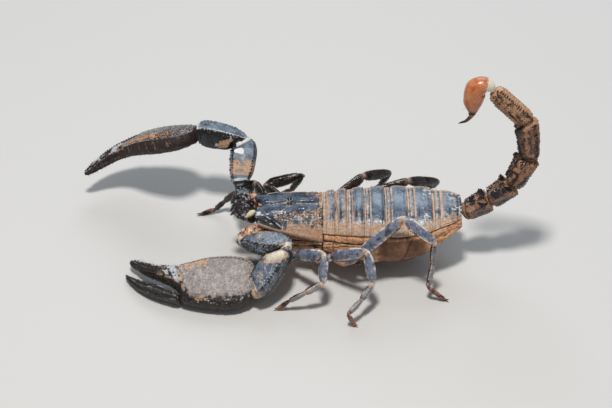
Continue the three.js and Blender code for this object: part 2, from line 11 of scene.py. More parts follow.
import bpy
import numpy as np
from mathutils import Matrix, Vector


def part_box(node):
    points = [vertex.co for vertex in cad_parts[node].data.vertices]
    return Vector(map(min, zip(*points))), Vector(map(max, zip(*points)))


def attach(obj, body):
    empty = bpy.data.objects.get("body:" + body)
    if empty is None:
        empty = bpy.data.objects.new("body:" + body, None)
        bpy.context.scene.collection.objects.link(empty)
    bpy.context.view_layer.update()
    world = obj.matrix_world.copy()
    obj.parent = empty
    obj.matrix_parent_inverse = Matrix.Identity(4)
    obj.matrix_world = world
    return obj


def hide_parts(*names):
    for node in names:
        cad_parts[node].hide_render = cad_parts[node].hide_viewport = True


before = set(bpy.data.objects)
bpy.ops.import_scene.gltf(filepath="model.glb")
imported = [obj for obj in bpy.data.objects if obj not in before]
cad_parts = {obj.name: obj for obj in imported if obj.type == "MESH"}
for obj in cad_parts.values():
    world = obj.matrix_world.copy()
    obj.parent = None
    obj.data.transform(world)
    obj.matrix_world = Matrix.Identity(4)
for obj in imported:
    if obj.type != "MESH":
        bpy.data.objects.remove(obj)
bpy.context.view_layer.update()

# ------------------------------------------------------------------ measures, as in the solids

MM = 0.001
CARAPACE_LENGTH = 16.4
CARAPACE_REAR = 0.1
TERGITE_LENGTHS = [2.9, 2.9, 4.2, 5.0, 5.4, 6.0, 7.4]
CLAW_LENGTH = 33.4
CLAW_BOW = 2.0
SEAM = 0.3
OVERHANG = 0.22  # of a back plate's rear edge over the seam behind it
PLATE_EDGE = 28  # degrees up from the side
BELLY_EDGE = 28  # degrees down from the side
CARAPACE_THICKNESS = 0.95
TERGITE_THICKNESS = 0.62
STERNITE_THICKNESS = 0.6
STERNITE_GAP = 0.35
BODY_POWER = 2.3
EYE_X = -7.9
EYE_Y = 0.95
EYE_RADIUS = 0.5
EYE_KNOB = 0.48  # height of the knob that carries the eyes
OPEN_FINGER = 8
SIDES = ((-1, "left"), (1, "right"))
AMOUNTS = ("dust_and_sheen", "dark", "pale", "matte")

# Rows of place and value along the body.
BODY_HALF_WIDTH = [
    [-17.5, 5.0], [-14, 6.2], [-8, 7.7], [0, 8.9], [8, 10.0],
    [16, 10.6], [24, 9.9], [30, 7.2], [35, 4.0],
]
BODY_TOP = [[-17.5, 15.6], [-9, 16.2], [0, 16.2], [10, 17.0], [20, 17.1], [28, 16.9], [35, 16.2]]
BODY_BOTTOM = [
    [-17.5, 6.4], [-8, 4.4], [0, 4.6], [8, 2.3], [14, 1.9],
    [21, 3.0], [27, 6.6], [31, 9.7], [35, 12.0],
]
BODY_WAIST = [[-17.5, 12.6], [-8, 10.8], [0, 9.8], [20, 9.4], [29, 11.8], [35, 13.8]]

# Half width and half height of each length of the tail, then rows of X and Z along tail and sting.
TAIL_HALF_SIZES = [[2.7, 2.3], [2.5, 2.35], [2.4, 2.4], [2.25, 2.5], [2.1, 2.2]]
TAIL_JOINTS = [[34.8, 13.7], [40.3, 17.3], [45.4, 22.0], [48.9, 30.5], [47.6, 41.1], [39.2, 50.0]]
TELSON_PATH = [[38.9, 50.6], [37.3, 51.9], [35.2, 50.6], [34.7, 47.0], [34.7, 43.6]]
STING_PATH = [[34.7, 43.6], [34.4, 42.4], [33.3, 41.1], [31.6, 40.4]]

# Joints of each leg: the hip, the bend and the end of the thigh, and the ends of knee, shin, foot and toe.
LEG_JOINTS = {
    "leg_left_1": [
        [-12.4, -7.4, 5.4], [-14.4, -8.6, 4.4], [-20.6, -8.2, 2.2], [-26.4, -8.4, 2.4],
        [-30.2, -8.6, 1.8], [-33.2, -9.0, 1.1], [-36.2, -9.4, 0.1],
    ],
    "leg_left_2": [
        [-7.4, -8.2, 5.8], [-6.2, -9.9, 8.0], [0.3, -16.5, 13.7], [-0.1, -19.7, 8.1],
        [-4.1, -20.5, 5.6], [-7.9, -20.5, 3.0], [-10.8, -20.3, 0.05],
    ],
    "leg_left_3": [
        [-0.6, -8.8, 5.7], [2.2, -10.9, 8.3], [10.4, -17.0, 15.1], [11.9, -19.5, 7.9],
        [9.1, -23.0, 5.6], [6.0, -26.0, 3.8], [7.8, -26.0, 0.0],
    ],
    "leg_left_4": [
        [5.6, -9.8, 5.8], [8.4, -11.8, 9.4], [19.2, -10.5, 20.0], [26.3, -14.0, 15.6],
        [26.3, -13.8, 9.2], [25.2, -16.5, 3.8], [29.6, -17.2, 0.05],
    ],
    "leg_right_1": [
        [-12.4, 7.4, 5.4], [-13.2, 8.6, 7.2], [-16.3, 13.0, 11.4], [-21.4, 14.5, 7.3],
        [-24.3, 16.0, 3.4], [-26.7, 15.3, 1.3], [-30.6, 14.6, 0.1],
    ],
    "leg_right_2": [
        [-7.4, 8.2, 5.8], [-8.0, 10.0, 6.8], [-13.9, 15.4, 9.0], [-4.9, 16.8, 11.0],
        [-7.7, 18.6, 4.9], [-10.2, 20.2, 2.0], [-13.0, 20.0, 0.1],
    ],
    "leg_right_3": [
        [-0.6, 8.8, 5.7], [2.2, 10.9, 7.4], [10.3, 15.5, 11.8], [17.0, 20.6, 8.6],
        [14.8, 21.3, 4.2], [12.2, 21.2, 1.6], [9.4, 22.0, 0.1],
    ],
    "leg_right_4": [
        [5.6, 9.8, 5.8], [8.6, 11.6, 7.6], [21.4, 13.6, 11.8], [28.9, 17.5, 8.4],
        [28.0, 21.2, 3.9], [25.1, 22.4, 1.6], [29.0, 23.6, 0.1],
    ],
}

# Joints of each arm: its root, elbow, knee and wrist, and the tip of its claw.
PEDIPALPS = {
    "left": {
        "joints": [
            [-16.4, -4.9, 9.0], [-19.3, -7.0, 10.4], [-8.6, -12.0, 12.4], [-15.6, -18.8, 4.6],
            [-46.6, -8.6, 1.2],
        ],
        "femur_side": [0.45, 0.87, 0], "patella_side": [0.72, -0.69, 0],
        "claw_out": [0, -0.94, -0.34], "hand": 1, "size": 1.0, "open": OPEN_FINGER, "lift": [0, 0.75, 0.27],
    },
    "right": {
        "joints": [
            [-17.3, 6.1, 9.7], [-20.1, 9.4, 12.8], [-19.0, 20.4, 18.8], [-30.8, 22.2, 20.3],
            [-59.0, 24.0, 6.6],
        ],
        "femur_side": [-1, 0, 0], "patella_side": [0, -0.98, 0.2],
        "claw_out": [0, 0.9, -0.44], "hand": -1, "size": 0.95, "open": 0, "lift": [0, 0, 0],
    },
}

# Rows of place, inner edge, outer edge and half thickness along the claw.
HAND_STATIONS = [
    [0.3, -2.2, 2.2, 1.7], [1.2, -4.6, 4.0, 2.3], [3.6, -6.7, 6.0, 2.55], [7, -6.9, 7.1, 2.9],
    [11, -6.0, 7.6, 3.0], [14.2, -4.8, 7.6, 2.85], [16.4, -3.6, 7.2, 2.6], [17.3, -3.2, 5.3, 2.4],
    [20.0, -2.0, 3.6, 2.0], [23.5, -1.3, 2.5, 1.7], [27.5, -1.5, 1.3, 1.5], [31, -2.2, -0.3, 1.1],
    [33.4, -2.3, -1.6, 0.4],
]
FINGER_STATIONS = [
    [17.6, 5.6, 7.6, 1.3], [18.6, 5.0, 7.5, 1.6], [20.4, 4.1, 7.1, 1.6], [23.0, 3.0, 6.4, 1.55],
    [26.6, 1.9, 4.9, 1.5], [29.4, 0.8, 2.9, 1.2], [31.4, -0.1, 1.0, 0.7], [32.4, -0.8, -0.2, 0.3],
]
FINGER_HINGE = [16.9, 7.0]

# The body's own frame in the frame of the solids: the carapace ends half a seam before X = 0.
carapace_low, carapace_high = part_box("carapace")
ANCHOR = np.array([
    carapace_high.x / MM + SEAM / 2,
    (carapace_low.y + carapace_high.y) / 2 / MM,
    0.0,
])

# ------------------------------------------------------------------ numbers and noise


def unit(vector):
    vector = np.asarray(vector, float)
    return vector / np.linalg.norm(vector, axis=-1, keepdims=True)


def along(stations, place):
    """Values at a place on a smooth curve through [place, value, ...] rows, as the solids are drawn."""
    table = np.asarray(stations, float)
    places, values = table[:, 0], table[:, 1:]
    last = len(places) - 1
    place = np.asarray(place, float)
    i = np.clip(np.searchsorted(places, place) - 1, 0, last - 1)

    def slope(a, b):
        return (values[b] - values[a]) / (places[b] - places[a])[..., None]

    run = (places[i + 1] - places[i])[..., None]
    t = np.clip((place - places[i])[..., None] / run, 0, 1)
    u = 1 - t
    start, end = slope(np.maximum(i - 1, 0), i + 1), slope(i, np.minimum(i + 2, last))
    result = (u * u * (1 + 2 * t) * values[i] + t * t * (3 - 2 * t) * values[i + 1]
              + run * (t * u * u * start - t * t * u * end))
    return result[..., 0] if values.shape[1] == 1 else result


def stacked(*values):
    """Values side by side, as the coordinates of points or the amounts of masks."""
    return np.stack(np.broadcast_arrays(*values), axis=-1)


def clamp(value):
    return np.clip(value, 0, 1)


def step(low, high, value):
    """Smooth step from 0 at low to 1 at high."""
    t = clamp((value - low) / (high - low))
    return t * t * (3 - 2 * t)


def fall(low, high, value):
    """Smooth step from 1 at low to 0 at high."""
    return 1 - step(low, high, value)


def window(low, full, fading, high, value):
    """1 from full to fading, and smoothly down to 0 at low and high."""
    return step(low, full, value) * fall(fading, high, value)


def bell(away, width):
    """1 at 0, smoothly down to 0 on both sides."""
    return np.exp(-(away / width) ** 2)


def edge_drop(share):
    """How far a rounded edge lies below its full height: 1 at the edge, 0 where the share is 1."""
    return 1 - np.sqrt(1 - (1 - clamp(share)) ** 2)


def blend(first, second, share):
    return first * (1 - share) + second * share


def wave(turns, sway):
    """A row of swells from 0 to 1, one to a turn, set off their places by a sway in radians."""
    return 0.5 + 0.5 * np.cos(2 * np.pi * turns + sway)


def random_field(cell, seed):
    """A steady random number from 0 to 1 for each whole-numbered cell."""
    mixed = (cell[..., 0] * 73856093) ^ (cell[..., 1] * 19349663) ^ (cell[..., 2] * 83492791)
    mixed = (mixed ^ (seed * 2654435761)) & 0xFFFFFFFF
    mixed = ((mixed ^ (mixed >> 15)) * 2246822519) & 0xFFFFFFFF
    mixed = ((mixed ^ (mixed >> 13)) * 3266489917) & 0xFFFFFFFF
    return ((mixed ^ (mixed >> 16)) & 0xFFFFFF) / 0xFFFFFF


def ripple(points, size, seed):
    """Smooth noise from -1 to 1, with swells about size apart."""
    place = np.asarray(points) / size
    cell = np.floor(place).astype(np.int64)
    share = place - cell
    share = share * share * (3 - 2 * share)
    total = 0
    for corner in np.ndindex(2, 2, 2):
        weight = np.prod(np.where(corner, share, 1 - share), axis=-1)
        total = total + weight * random_field(cell + np.array(corner), seed)
    return 2 * total - 1


def rough(points, size, seed):
    """Three octaves of ripple."""
    return (ripple(points, size, seed) + 0.5 * ripple(points, size / 2, seed + 1)
            + 0.25 * ripple(points, size / 4, seed + 2)) / 1.75


def brushed(x, angle, per_x, per_angle, seed):
    """Roughness drawn out along a piece or round it."""
    return rough(stacked(x * per_x, angle * per_angle, 0 * x), 1.0, seed)


def granules(points, spacing, seed, least=0.25, most=0.5):
    """Round bumps scattered one to a cell of the given spacing: 1 on top of a bump, 0 between them."""
    place = np.asarray(points) / spacing
    base = np.floor(place - 0.5).astype(np.int64)
    height = np.zeros(place.shape[:-1])
    for corner in np.ndindex(2, 2, 2):
        cell = base + np.array(corner)
        jitter = np.stack([random_field(cell, seed + k) for k in (1, 2, 3)], axis=-1)
        centre = cell + 0.5 + (jitter - 0.5) * 0.5
        radius = least + (most - least) * random_field(cell, seed + 4)
        away = ((place - centre) ** 2).sum(axis=-1) / radius ** 2
        height = np.maximum(height, 1 - away)
    return clamp(height)


# ------------------------------------------------------------------ parts of a piece


def spread(masks, *shape):
    """Dust, dark, pale and matte amounts for points of a shape; matte is 0 where only three are given."""
    masks = np.asarray(masks, float)
    if masks.shape[-1] == 3:
        masks = np.concatenate([masks, np.zeros_like(masks[..., :1])], axis=-1)
    return np.broadcast_to(clamp(masks), (*shape, 4))


class Part:
    """Closed mesh in millimetres, with the dust, dark, pale and matte amounts of its points."""

    def __init__(self, points, quads, triangles, masks):
        self.points = np.asarray(points, float).reshape(-1, 3)
        self.quads = np.asarray(quads, np.int64).reshape(-1, 4)
        self.triangles = np.asarray(triangles, np.int64).reshape(-1, 3)
        self.masks = spread(masks, len(self.points))


def grid_quads(rows, columns, closed):
    """Corner indices of the faces between neighbouring points of a grid."""
    ids = np.arange(rows * columns).reshape(rows, columns)
    if closed:
        ids = np.concatenate([ids, ids[:, :1]], axis=1)
    return stacked(ids[:-1, :-1], ids[:-1, 1:], ids[1:, 1:], ids[1:, :-1]).reshape(-1, 4)


def tube(points, masks=(0, 0, 0)):
    """A closed part over rows of closed rings, with a fan over each end."""
    rows, columns = points.shape[:2]
    masks = spread(masks, rows, columns)
    ends = [points[0].mean(axis=0), points[-1].mean(axis=0)]
    end_masks = [masks[0].mean(axis=0), masks[-1].mean(axis=0)]
    first, last = rows * columns, rows * columns + 1
    ring = np.arange(columns)
    following = (ring + 1) % columns
    base = (rows - 1) * columns
    head = stacked(np.full(columns, first), following, ring)
    tail = stacked(np.full(columns, last), base + ring, base + following)
    return facing_out(Part(
        np.concatenate([points.reshape(-1, 3), ends]),
        grid_quads(rows, columns, True),
        np.concatenate([head, tail]),
        np.concatenate([masks.reshape(-1, 4), end_masks]),
    ))


def plate(outer, inner, masks):
    """A closed plate: a fine outer grid over an inner grid that keeps every fourth row and column."""
    stride = 4
    rows, columns = outer.shape[:2]
    outer_ids = np.arange(rows * columns).reshape(rows, columns)
    inner = inner[::stride, ::stride]
    inner_ids = rows * columns + np.arange(inner.shape[0] * inner.shape[1]).reshape(inner.shape[:2])
    under = grid_quads(*inner.shape[:2], False)[:, ::-1] + rows * columns
    triangles = []
    edges = [
        (outer_ids[0], inner_ids[0], False), (outer_ids[-1], inner_ids[-1], True),
        (outer_ids[:, 0], inner_ids[:, 0], True), (outer_ids[:, -1], inner_ids[:, -1], False),
    ]
    for fine, coarse, turned in edges:
        for j in range(len(coarse) - 1):
            faces = [[fine[k + 1], fine[k], coarse[j]] for k in range(j * stride, (j + 1) * stride)]
            faces.append([fine[(j + 1) * stride], coarse[j], coarse[j + 1]])
            triangles += [face[::-1] for face in faces] if turned else faces
    masks = spread(masks, rows, columns)
    return facing_out(Part(
        np.concatenate([outer.reshape(-1, 3), inner.reshape(-1, 3)]),
        np.concatenate([grid_quads(rows, columns, False), under]),
        triangles,
        np.concatenate([masks.reshape(-1, 4), masks[::stride, ::stride].reshape(-1, 4)]),
    ))


def facing_out(part):
    """Turns a part's faces so that they point out of its volume."""
    corners = part.points - part.points.mean(axis=0)
    halves = [part.triangles, part.quads[:, [0, 1, 2]], part.quads[:, [0, 2, 3]]]
    faces = corners[np.concatenate(halves)]
    volume = np.einsum("ij,ij->", faces[:, 0], np.cross(faces[:, 1], faces[:, 2]))
    if volume < 0:
        part.quads = part.quads[:, ::-1]
        part.triangles = part.triangles[:, ::-1]
    return part


def outward(points, closed=True):
    """Unit normals of a grid of points, pointing away from the middle of each row."""
    if closed:
        across = np.roll(points, -1, axis=1) - np.roll(points, 1, axis=1)
    else:
        across = np.gradient(points, axis=1)
    lengthways = np.gradient(points, axis=0)
    normal = np.cross(lengthways, across)
    normal /= np.maximum(np.linalg.norm(normal, axis=-1, keepdims=True), 1e-9)
    middle = points.mean(axis=(0, 1))
    sign = np.sign(np.einsum("ijk,ijk->", normal, points - middle))
    return normal * (sign if sign else 1)


def around_axes(axes, count):
    """Directions evenly round each axis, the first of them crosswise."""
    helper = np.where(np.abs(axes[:, 2:]) < 0.9, [[0.0, 0, 1]], [[1.0, 0, 0]])
    side = unit(np.cross(axes, helper))
    angles = 2 * np.pi * np.arange(count) / count
    return (np.cos(angles)[None, :, None] * side[:, None]
            + np.sin(angles)[None, :, None] * np.cross(axes, side)[:, None])


def beads(centres, axes, radius, height, masks=(0, 1, 0), sides=7):
    """Low round cones standing on the given centres along the given axes."""
    centres = np.asarray(centres, float).reshape(-1, 3)
    axes = unit(np.broadcast_to(np.asarray(axes, float), centres.shape))
    radius = np.broadcast_to(np.asarray(radius, float), len(centres))
    height = np.broadcast_to(np.asarray(height, float), len(centres))
    around = around_axes(axes, sides)
    profile = [(-0.5, 0.75), (0.0, 1.0), (0.45, 0.8), (0.8, 0.45)]
    rings = [centres[:, None] + axes[:, None] * (height * level)[:, None, None]
             + around * (radius * width)[:, None, None] for level, width in profile]
    tips = centres + axes * height[:, None]
    roots = centres - axes * (0.5 * height)[:, None]
    points = np.concatenate([np.concatenate(rings, axis=1), tips[:, None], roots[:, None]], axis=1)
    levels = len(profile)
    quads = grid_quads(levels, sides, True)
    ring = np.arange(sides)
    following = (ring + 1) % sides
    tip, root = levels * sides, levels * sides + 1
    top = (levels - 1) * sides
    triangles = np.concatenate([
        stacked(np.full(sides, tip), top + ring, top + following),
        stacked(np.full(sides, root), following, ring),
    ])
    shift = (np.arange(len(centres)) * (levels * sides + 2))[:, None, None]
    return facing_out(Part(points, quads[None] + shift, triangles[None] + shift, masks))


def raised(points, relief):
    """Closed rings of points moved outwards by the relief."""
    return points + outward(points) * relief[..., None]


HAIR_DROOP = 0.25  # sideways bend of a hair's tip as a share of its length


def hairs(roots, directions, length, seed, radius=0.035):
    """Fine tapering bristles, three-sided and slightly curved."""
    roots = np.asarray(roots, float).reshape(-1, 3)
    random = np.random.default_rng(seed)
    directions = unit(unit(directions) + 0.35 * random.normal(size=roots.shape))
    length = np.broadcast_to(np.asarray(length, float), len(roots)) * random.uniform(0.6, 1.2, len(roots))
    around = around_axes(directions, 3)
    rings = []
    shares = (0.0, 0.35, 0.7, 1.0)
    for share in shares:
        centre = (roots + directions * (length * share)[:, None]
                  + around[:, 0] * (length * HAIR_DROOP * share ** 2)[:, None])
        rings.append(centre[:, None] + around * (radius * (1 - 0.85 * share)))
    points = np.concatenate(rings, axis=1)
    quads = grid_quads(len(shares), 3, True)
    caps = np.array([[0, 2, 1], [9, 10, 11]])
    shift = (np.arange(len(roots)) * 12)[:, None, None]
    return facing_out(Part(points, quads[None] + shift, caps[None] + shift, (0, 0.75, 0)))


# ------------------------------------------------------------------ the body's surface


def bend(value, power=BODY_POWER):
    """Turns the sine and cosine of a circle into those of a rounder or squarer oval."""
    return np.sign(value) * np.abs(value) ** (2 / power)


def body_point(x, degrees, inset=0.0):
    """Point of the body's section at x, from 0 degrees on the right over the back to 180 on the left."""
    x, degrees, inset = np.broadcast_arrays(x, degrees, inset)
    turn = np.radians(degrees)
    waist = along(BODY_WAIST, x)
    rise = np.where(degrees >= 0, along(BODY_TOP, x) - waist, waist - along(BODY_BOTTOM, x))
    y = (along(BODY_HALF_WIDTH, x) - inset) * bend(np.cos(turn))
    z = waist + (rise - inset) * bend(np.sin(turn))
    return stacked(x, y, z)


def eased(count):
    """Shares from 0 to 1 that lie closer together near both ends."""
    t = np.linspace(0, 1, count)
    return 0.45 * t + 0.55 * (0.5 - 0.5 * np.cos(np.pi * t))


# ------------------------------------------------------------------ carapace and eyes


def carapace_vault(x, y):
    """Height of the carapace as in the solids, without its finer forms."""
    share = np.abs(y) / along(BODY_HALF_WIDTH, x)
    edge = along([[-CARAPACE_LENGTH, 15.0], [-11, 13.6], [0, 12.0]], x)
    return edge + (along(BODY_TOP, x) - edge) * (1 - share ** 2.6)


def carapace_front(share):
    """Where the front edge of the carapace lies at a share of its half width."""
    return -CARAPACE_LENGTH + 2.2 * bell(share, 0.3) + 1.0 * np.abs(share) ** 6


def build_carapace():
    rows, columns = eased(153), 2 * eased(193) - 1
    t, share = np.meshgrid(rows, columns, indexing="ij")
    front = carapace_front(share)
    x = front + (CARAPACE_REAR - front) * t
    half = along(BODY_HALF_WIDTH, x)
    y = share * half
    side = np.abs(y)
    flat = stacked(x, y, np.zeros_like(x))

    # Two long glossy swellings lie beside the furrow and taper to the rear.
    swell = [[-17, 4.2], [-13, 4.0], [-9.4, 3.5], [-6.1, 2.9], [-3.8, 2.6], [-1.2, 2.2], [0.2, 1.2]]
    outer_edge = along(swell, x) + 0.28 * ripple(flat, 1.6, 5)
    lobe = window(0.12, 0.8, outer_edge - 0.55, outer_edge + 0.1, side)
    lobe *= step(0.0, 0.03, t) * fall(-1.0, -0.2, x)
    crown = np.sin(np.pi * clamp(side / np.maximum(outer_edge, 0.5)))
    furrow_width = 0.32 + 0.55 * step(-3.5, 0, x) + 0.3 * step(-14.5, -16.5, x)
    furrow = bell(y, furrow_width)
    knob = bell(x - EYE_X, 1.5) * bell(y, 1.3)

    # Behind, slanting furrows run out to the sides from the end of the swellings.
    slant = np.abs((x + 1.5) + 0.42 * (side - 2.6)) + 0.12 * ripple(flat, 0.9, 8)
    rear_furrow = bell(slant, 0.26) * step(2.2, 2.9, side) * fall(0.9, 0.97, np.abs(share))
    cross = np.abs(x + 1.25 - 0.05 * side) + 0.08 * ripple(flat, 0.8, 9)
    rear_furrow = np.maximum(rear_furrow, 0.8 * bell(cross, 0.2) * step(1.6, 2.4, side))
    rear_roll = step(-0.95, -0.6, x)
    rim = step(0.935, 0.975, np.abs(share))

    # Granules cover the sides behind the smooth black front corners.
    ridge_line = side - 4.1 - 0.667 * (x + 13.5)
    corner = (step(-1.1, -0.7, ridge_line + 0.3 * ripple(flat, 1.2, 3))
              * step(outer_edge - 0.1, outer_edge + 0.2, side))
    corner *= fall(-10.4, -9.5, x + 0.3 * ripple(flat, 0.9, 4))
    ridge = bell(ridge_line, 0.24) * corner * step(-14.4, -13.4, x)
    grainy = step(outer_edge - 0.25, outer_edge + 0.2, side) * (1 - corner) * (1 - 0.8 * rim)
    grain = granules(flat + [0, 0, 0.33], 0.66, 11, 0.14, 0.52) * grainy
    fine = granules(flat + [0, 0, 0.18], 0.36, 17, 0.12, 0.5) * grainy
    pits = bell(rough(flat, 0.9, 19) - 0.35, 0.22)
    mottle = rough(flat, 1.3, 45)
    relief = (
        0.40 * lobe * crown + 0.42 * ridge - 0.22 * corner - 0.45 * furrow - 0.30 * rear_furrow + 0.16 * rim
        - 0.12 * rear_roll + EYE_KNOB * knob + 0.27 * grain + 0.12 * fine - 0.2 * grainy
        + 0.08 * rough(flat, 2.4, 21) * (1 - 0.3 * lobe)
        + (0.07 * mottle - 0.06 * pits + 0.02 * rough(flat, 0.5, 27)) * lobe
    )
    hard_edge = np.minimum((x - front) / 0.45, (CARAPACE_REAR - x) / 0.3)
    hard_edge = np.minimum(hard_edge, (1 - np.abs(share)) * half / 0.3)
    relief -= 0.3 * edge_drop(hard_edge)
    z = carapace_vault(x, y) + relief

    # The eye sockets are smooth dips on the knob, each inside a low swollen ring.
    eye_away = np.minimum(np.hypot(x - EYE_X, y - EYE_Y), np.hypot(x - EYE_X, y + EYE_Y))
    z = z - 0.3 * bell(eye_away, 0.42) + 0.12 * bell(eye_away - 0.72, 0.16)

    noise = rough(flat, 1.3, 31)
    patches = rough(flat, 2.1, 35)
    low_side = step(0.62, 0.9, np.abs(share) + 0.14 * noise) * step(-10.8, -6, x + 0.8 * noise)
    clean = step(0, 1.2, y) * fall(0.78, 0.93, share)
    worn = step(-4.6, -3.4, x + 0.4 * noise) * fall(-1.2, -0.7, x) * window(3, 3.7, 6.2, 7.3, side)
    crackle = bell(rough(flat, 0.8, 55), 0.07)
    furrow_dust = bell(y, furrow_width * 0.8) * step(-0.9, 0.2, ripple(flat, 0.8, 33))
    dust_and_sheen = 0.95 * rim + 0.9 * furrow_dust + 1.0 * rear_furrow + 0.9 * rear_roll
    dust_and_sheen += grainy * (1 - 0.8 * clean) * (0.5 + 0.4 * noise + 0.3 * patches - 0.2 * grain)
    dust_and_sheen += 0.9 * low_side * (0.8 + 0.4 * noise)
    dust_and_sheen = dust_and_sheen * (1 - 0.75 * worn) + worn * (0.2 + 0.9 * crackle)
    dust_and_sheen *= (1 - 0.97 * corner * (1 - rim)) * (1 - 0.85 * lobe * (1 - furrow_dust))
    dust_and_sheen += 0.5 * lobe * step(0.45, 0.75, ripple(flat, 0.9, 47)) * step(0.2, 0.5, patches)
    gaps = grainy * fall(0.0, 0.2, grain + 0.6 * fine)
    # The front corners are black, except along their ridge, where a painted highlight lies; a dark ring edges
    # each eye socket.
    dark = corner * (1 - rim) * (1 - 0.9 * ridge * step(-0.5, 0.1, noise)) + 0.95 * bell(eye_away - 0.5, 0.13)
    dark += (0.8 * gaps * step(-0.4, 0.25, patches + 0.5 * noise)
             * (1 - 0.7 * clamp(low_side + rim + rear_furrow)))
    # Painted shade: a dark line along the left, near edge of the middle furrow only.
    dark += (0.9 * bell(y + furrow_width * 1.35, 0.16) * step(-0.6, 0.0, ripple(flat, 1.1, 43))
             * step(-15.5, -14.5, x))
    dark += lobe * (0.6 * step(0.15, 0.7, mottle) + 0.5 * pits * step(0.0, 0.4, patches))
    pale = (grainy * step(0.1, 0.5, grain + 0.4 * fine) * step(-0.5, 0.2, ripple(flat, 1.1, 37))
            * (1 - 0.7 * low_side))
    pale = pale * (1 - clean) + 0.55 * worn * step(-0.3, 0.3, noise) * (1 - crackle)
    # Painted highlights: a streak along the ridge of each black front corner and glints dotted along the
    # corner's edge by the swelling.
    pale += (0.95 * ridge * step(-0.5, 0.1, noise)
             + 0.7 * corner * bell(side - 3.9, 0.3) * step(0.1, 0.4, ripple(flat, 0.55, 57)))
    pale += (0.9 * bell(y, furrow_width * 0.9) * step(0.0, 0.4, ripple(flat, 0.6, 39))
             + 0.55 * bell(eye_away - 0.8, 0.12))
    pale += 0.35 * lobe * step(0.35, 0.7, -mottle) * step(0.0, 0.5, patches)
    matte = (grainy * (0.9 - 0.5 * step(0.3, 0.7, patches))
             + lobe * (0.55 - 0.55 * step(-0.1, 0.3, rough(flat, 1.2, 49))))
    matte += ((0.2 + 0.5 * step(-15.6, -14.6, x)) * corner * (1 - ridge)
              * (1 - 0.5 * step(0.3, 0.6, rough(flat, 0.8, 53))))
    masks = stacked(dust_and_sheen, dark, 0.85 * pale, matte + 0.6 * (rear_roll + rim))
    surface = stacked(x, y, z)
    inner = stacked(x, y, carapace_vault(x, y) - CARAPACE_THICKNESS)
    inner[[0, -1]] = surface[[0, -1]] - [0, 0, 0.3]
    parts = [plate(surface, inner, masks)]

    # Three small side eyes stand on each front corner.
    for sign in (-1, 1):
        places = np.array([[-14.9, 4.85], [-14.3, 5.1], [-13.7, 5.3]])
        ground = carapace_vault(places[:, 0], places[:, 1])
        centres = stacked(places[:, 0], sign * places[:, 1], ground)
        parts.append(beads(centres, [-0.3, sign * 0.8, 0.5], 0.24, 0.26, (0, 1, 0), sides=12))
    publish("carapace_shield", parts, "shell", "carapace", look="carapace")


def build_eyes():
    for sign, name in SIDES:
        y = sign * EYE_Y
        height = carapace_vault(EYE_X, y) + EYE_KNOB * bell(y, 1.3) - 0.45 * bell(y, 0.32) - 0.08
        lens = [EYE_X, y, height] + EYE_RADIUS * np.stack(ball(48, 31), axis=-1)
        publish(f"median_eye_{name}", [tube(lens)], "eye", f"eye_{name}", look="eye")


# ------------------------------------------------------------------ back plates, skin of the sides, belly


def plate_surface(front, rear, angles, rows, profile):
    """Grid of a back or belly plate, its share along the plate and the distances to its edges."""
    u, angle = np.meshgrid(eased(rows), angles, indexing="ij")
    x = front + (rear - front) * u
    base = body_point(x, angle)
    normal = outward(base, closed=False)
    return u, angle, x, base, normal, along(profile, u)


TERGITE_PROFILE = [
    [0, -0.42], [0.12, -0.34], [0.24, -0.36], [0.29, -0.30], [0.34, -0.12], [0.42, -0.02],
    [0.6, 0.05], [0.82, 0.05], [0.93, 0.0], [1, -0.06],
]
TERGITE_WEAR = [0.4, 0.3, 0.22, 0.1, 0.13, 0.13, 0.18]


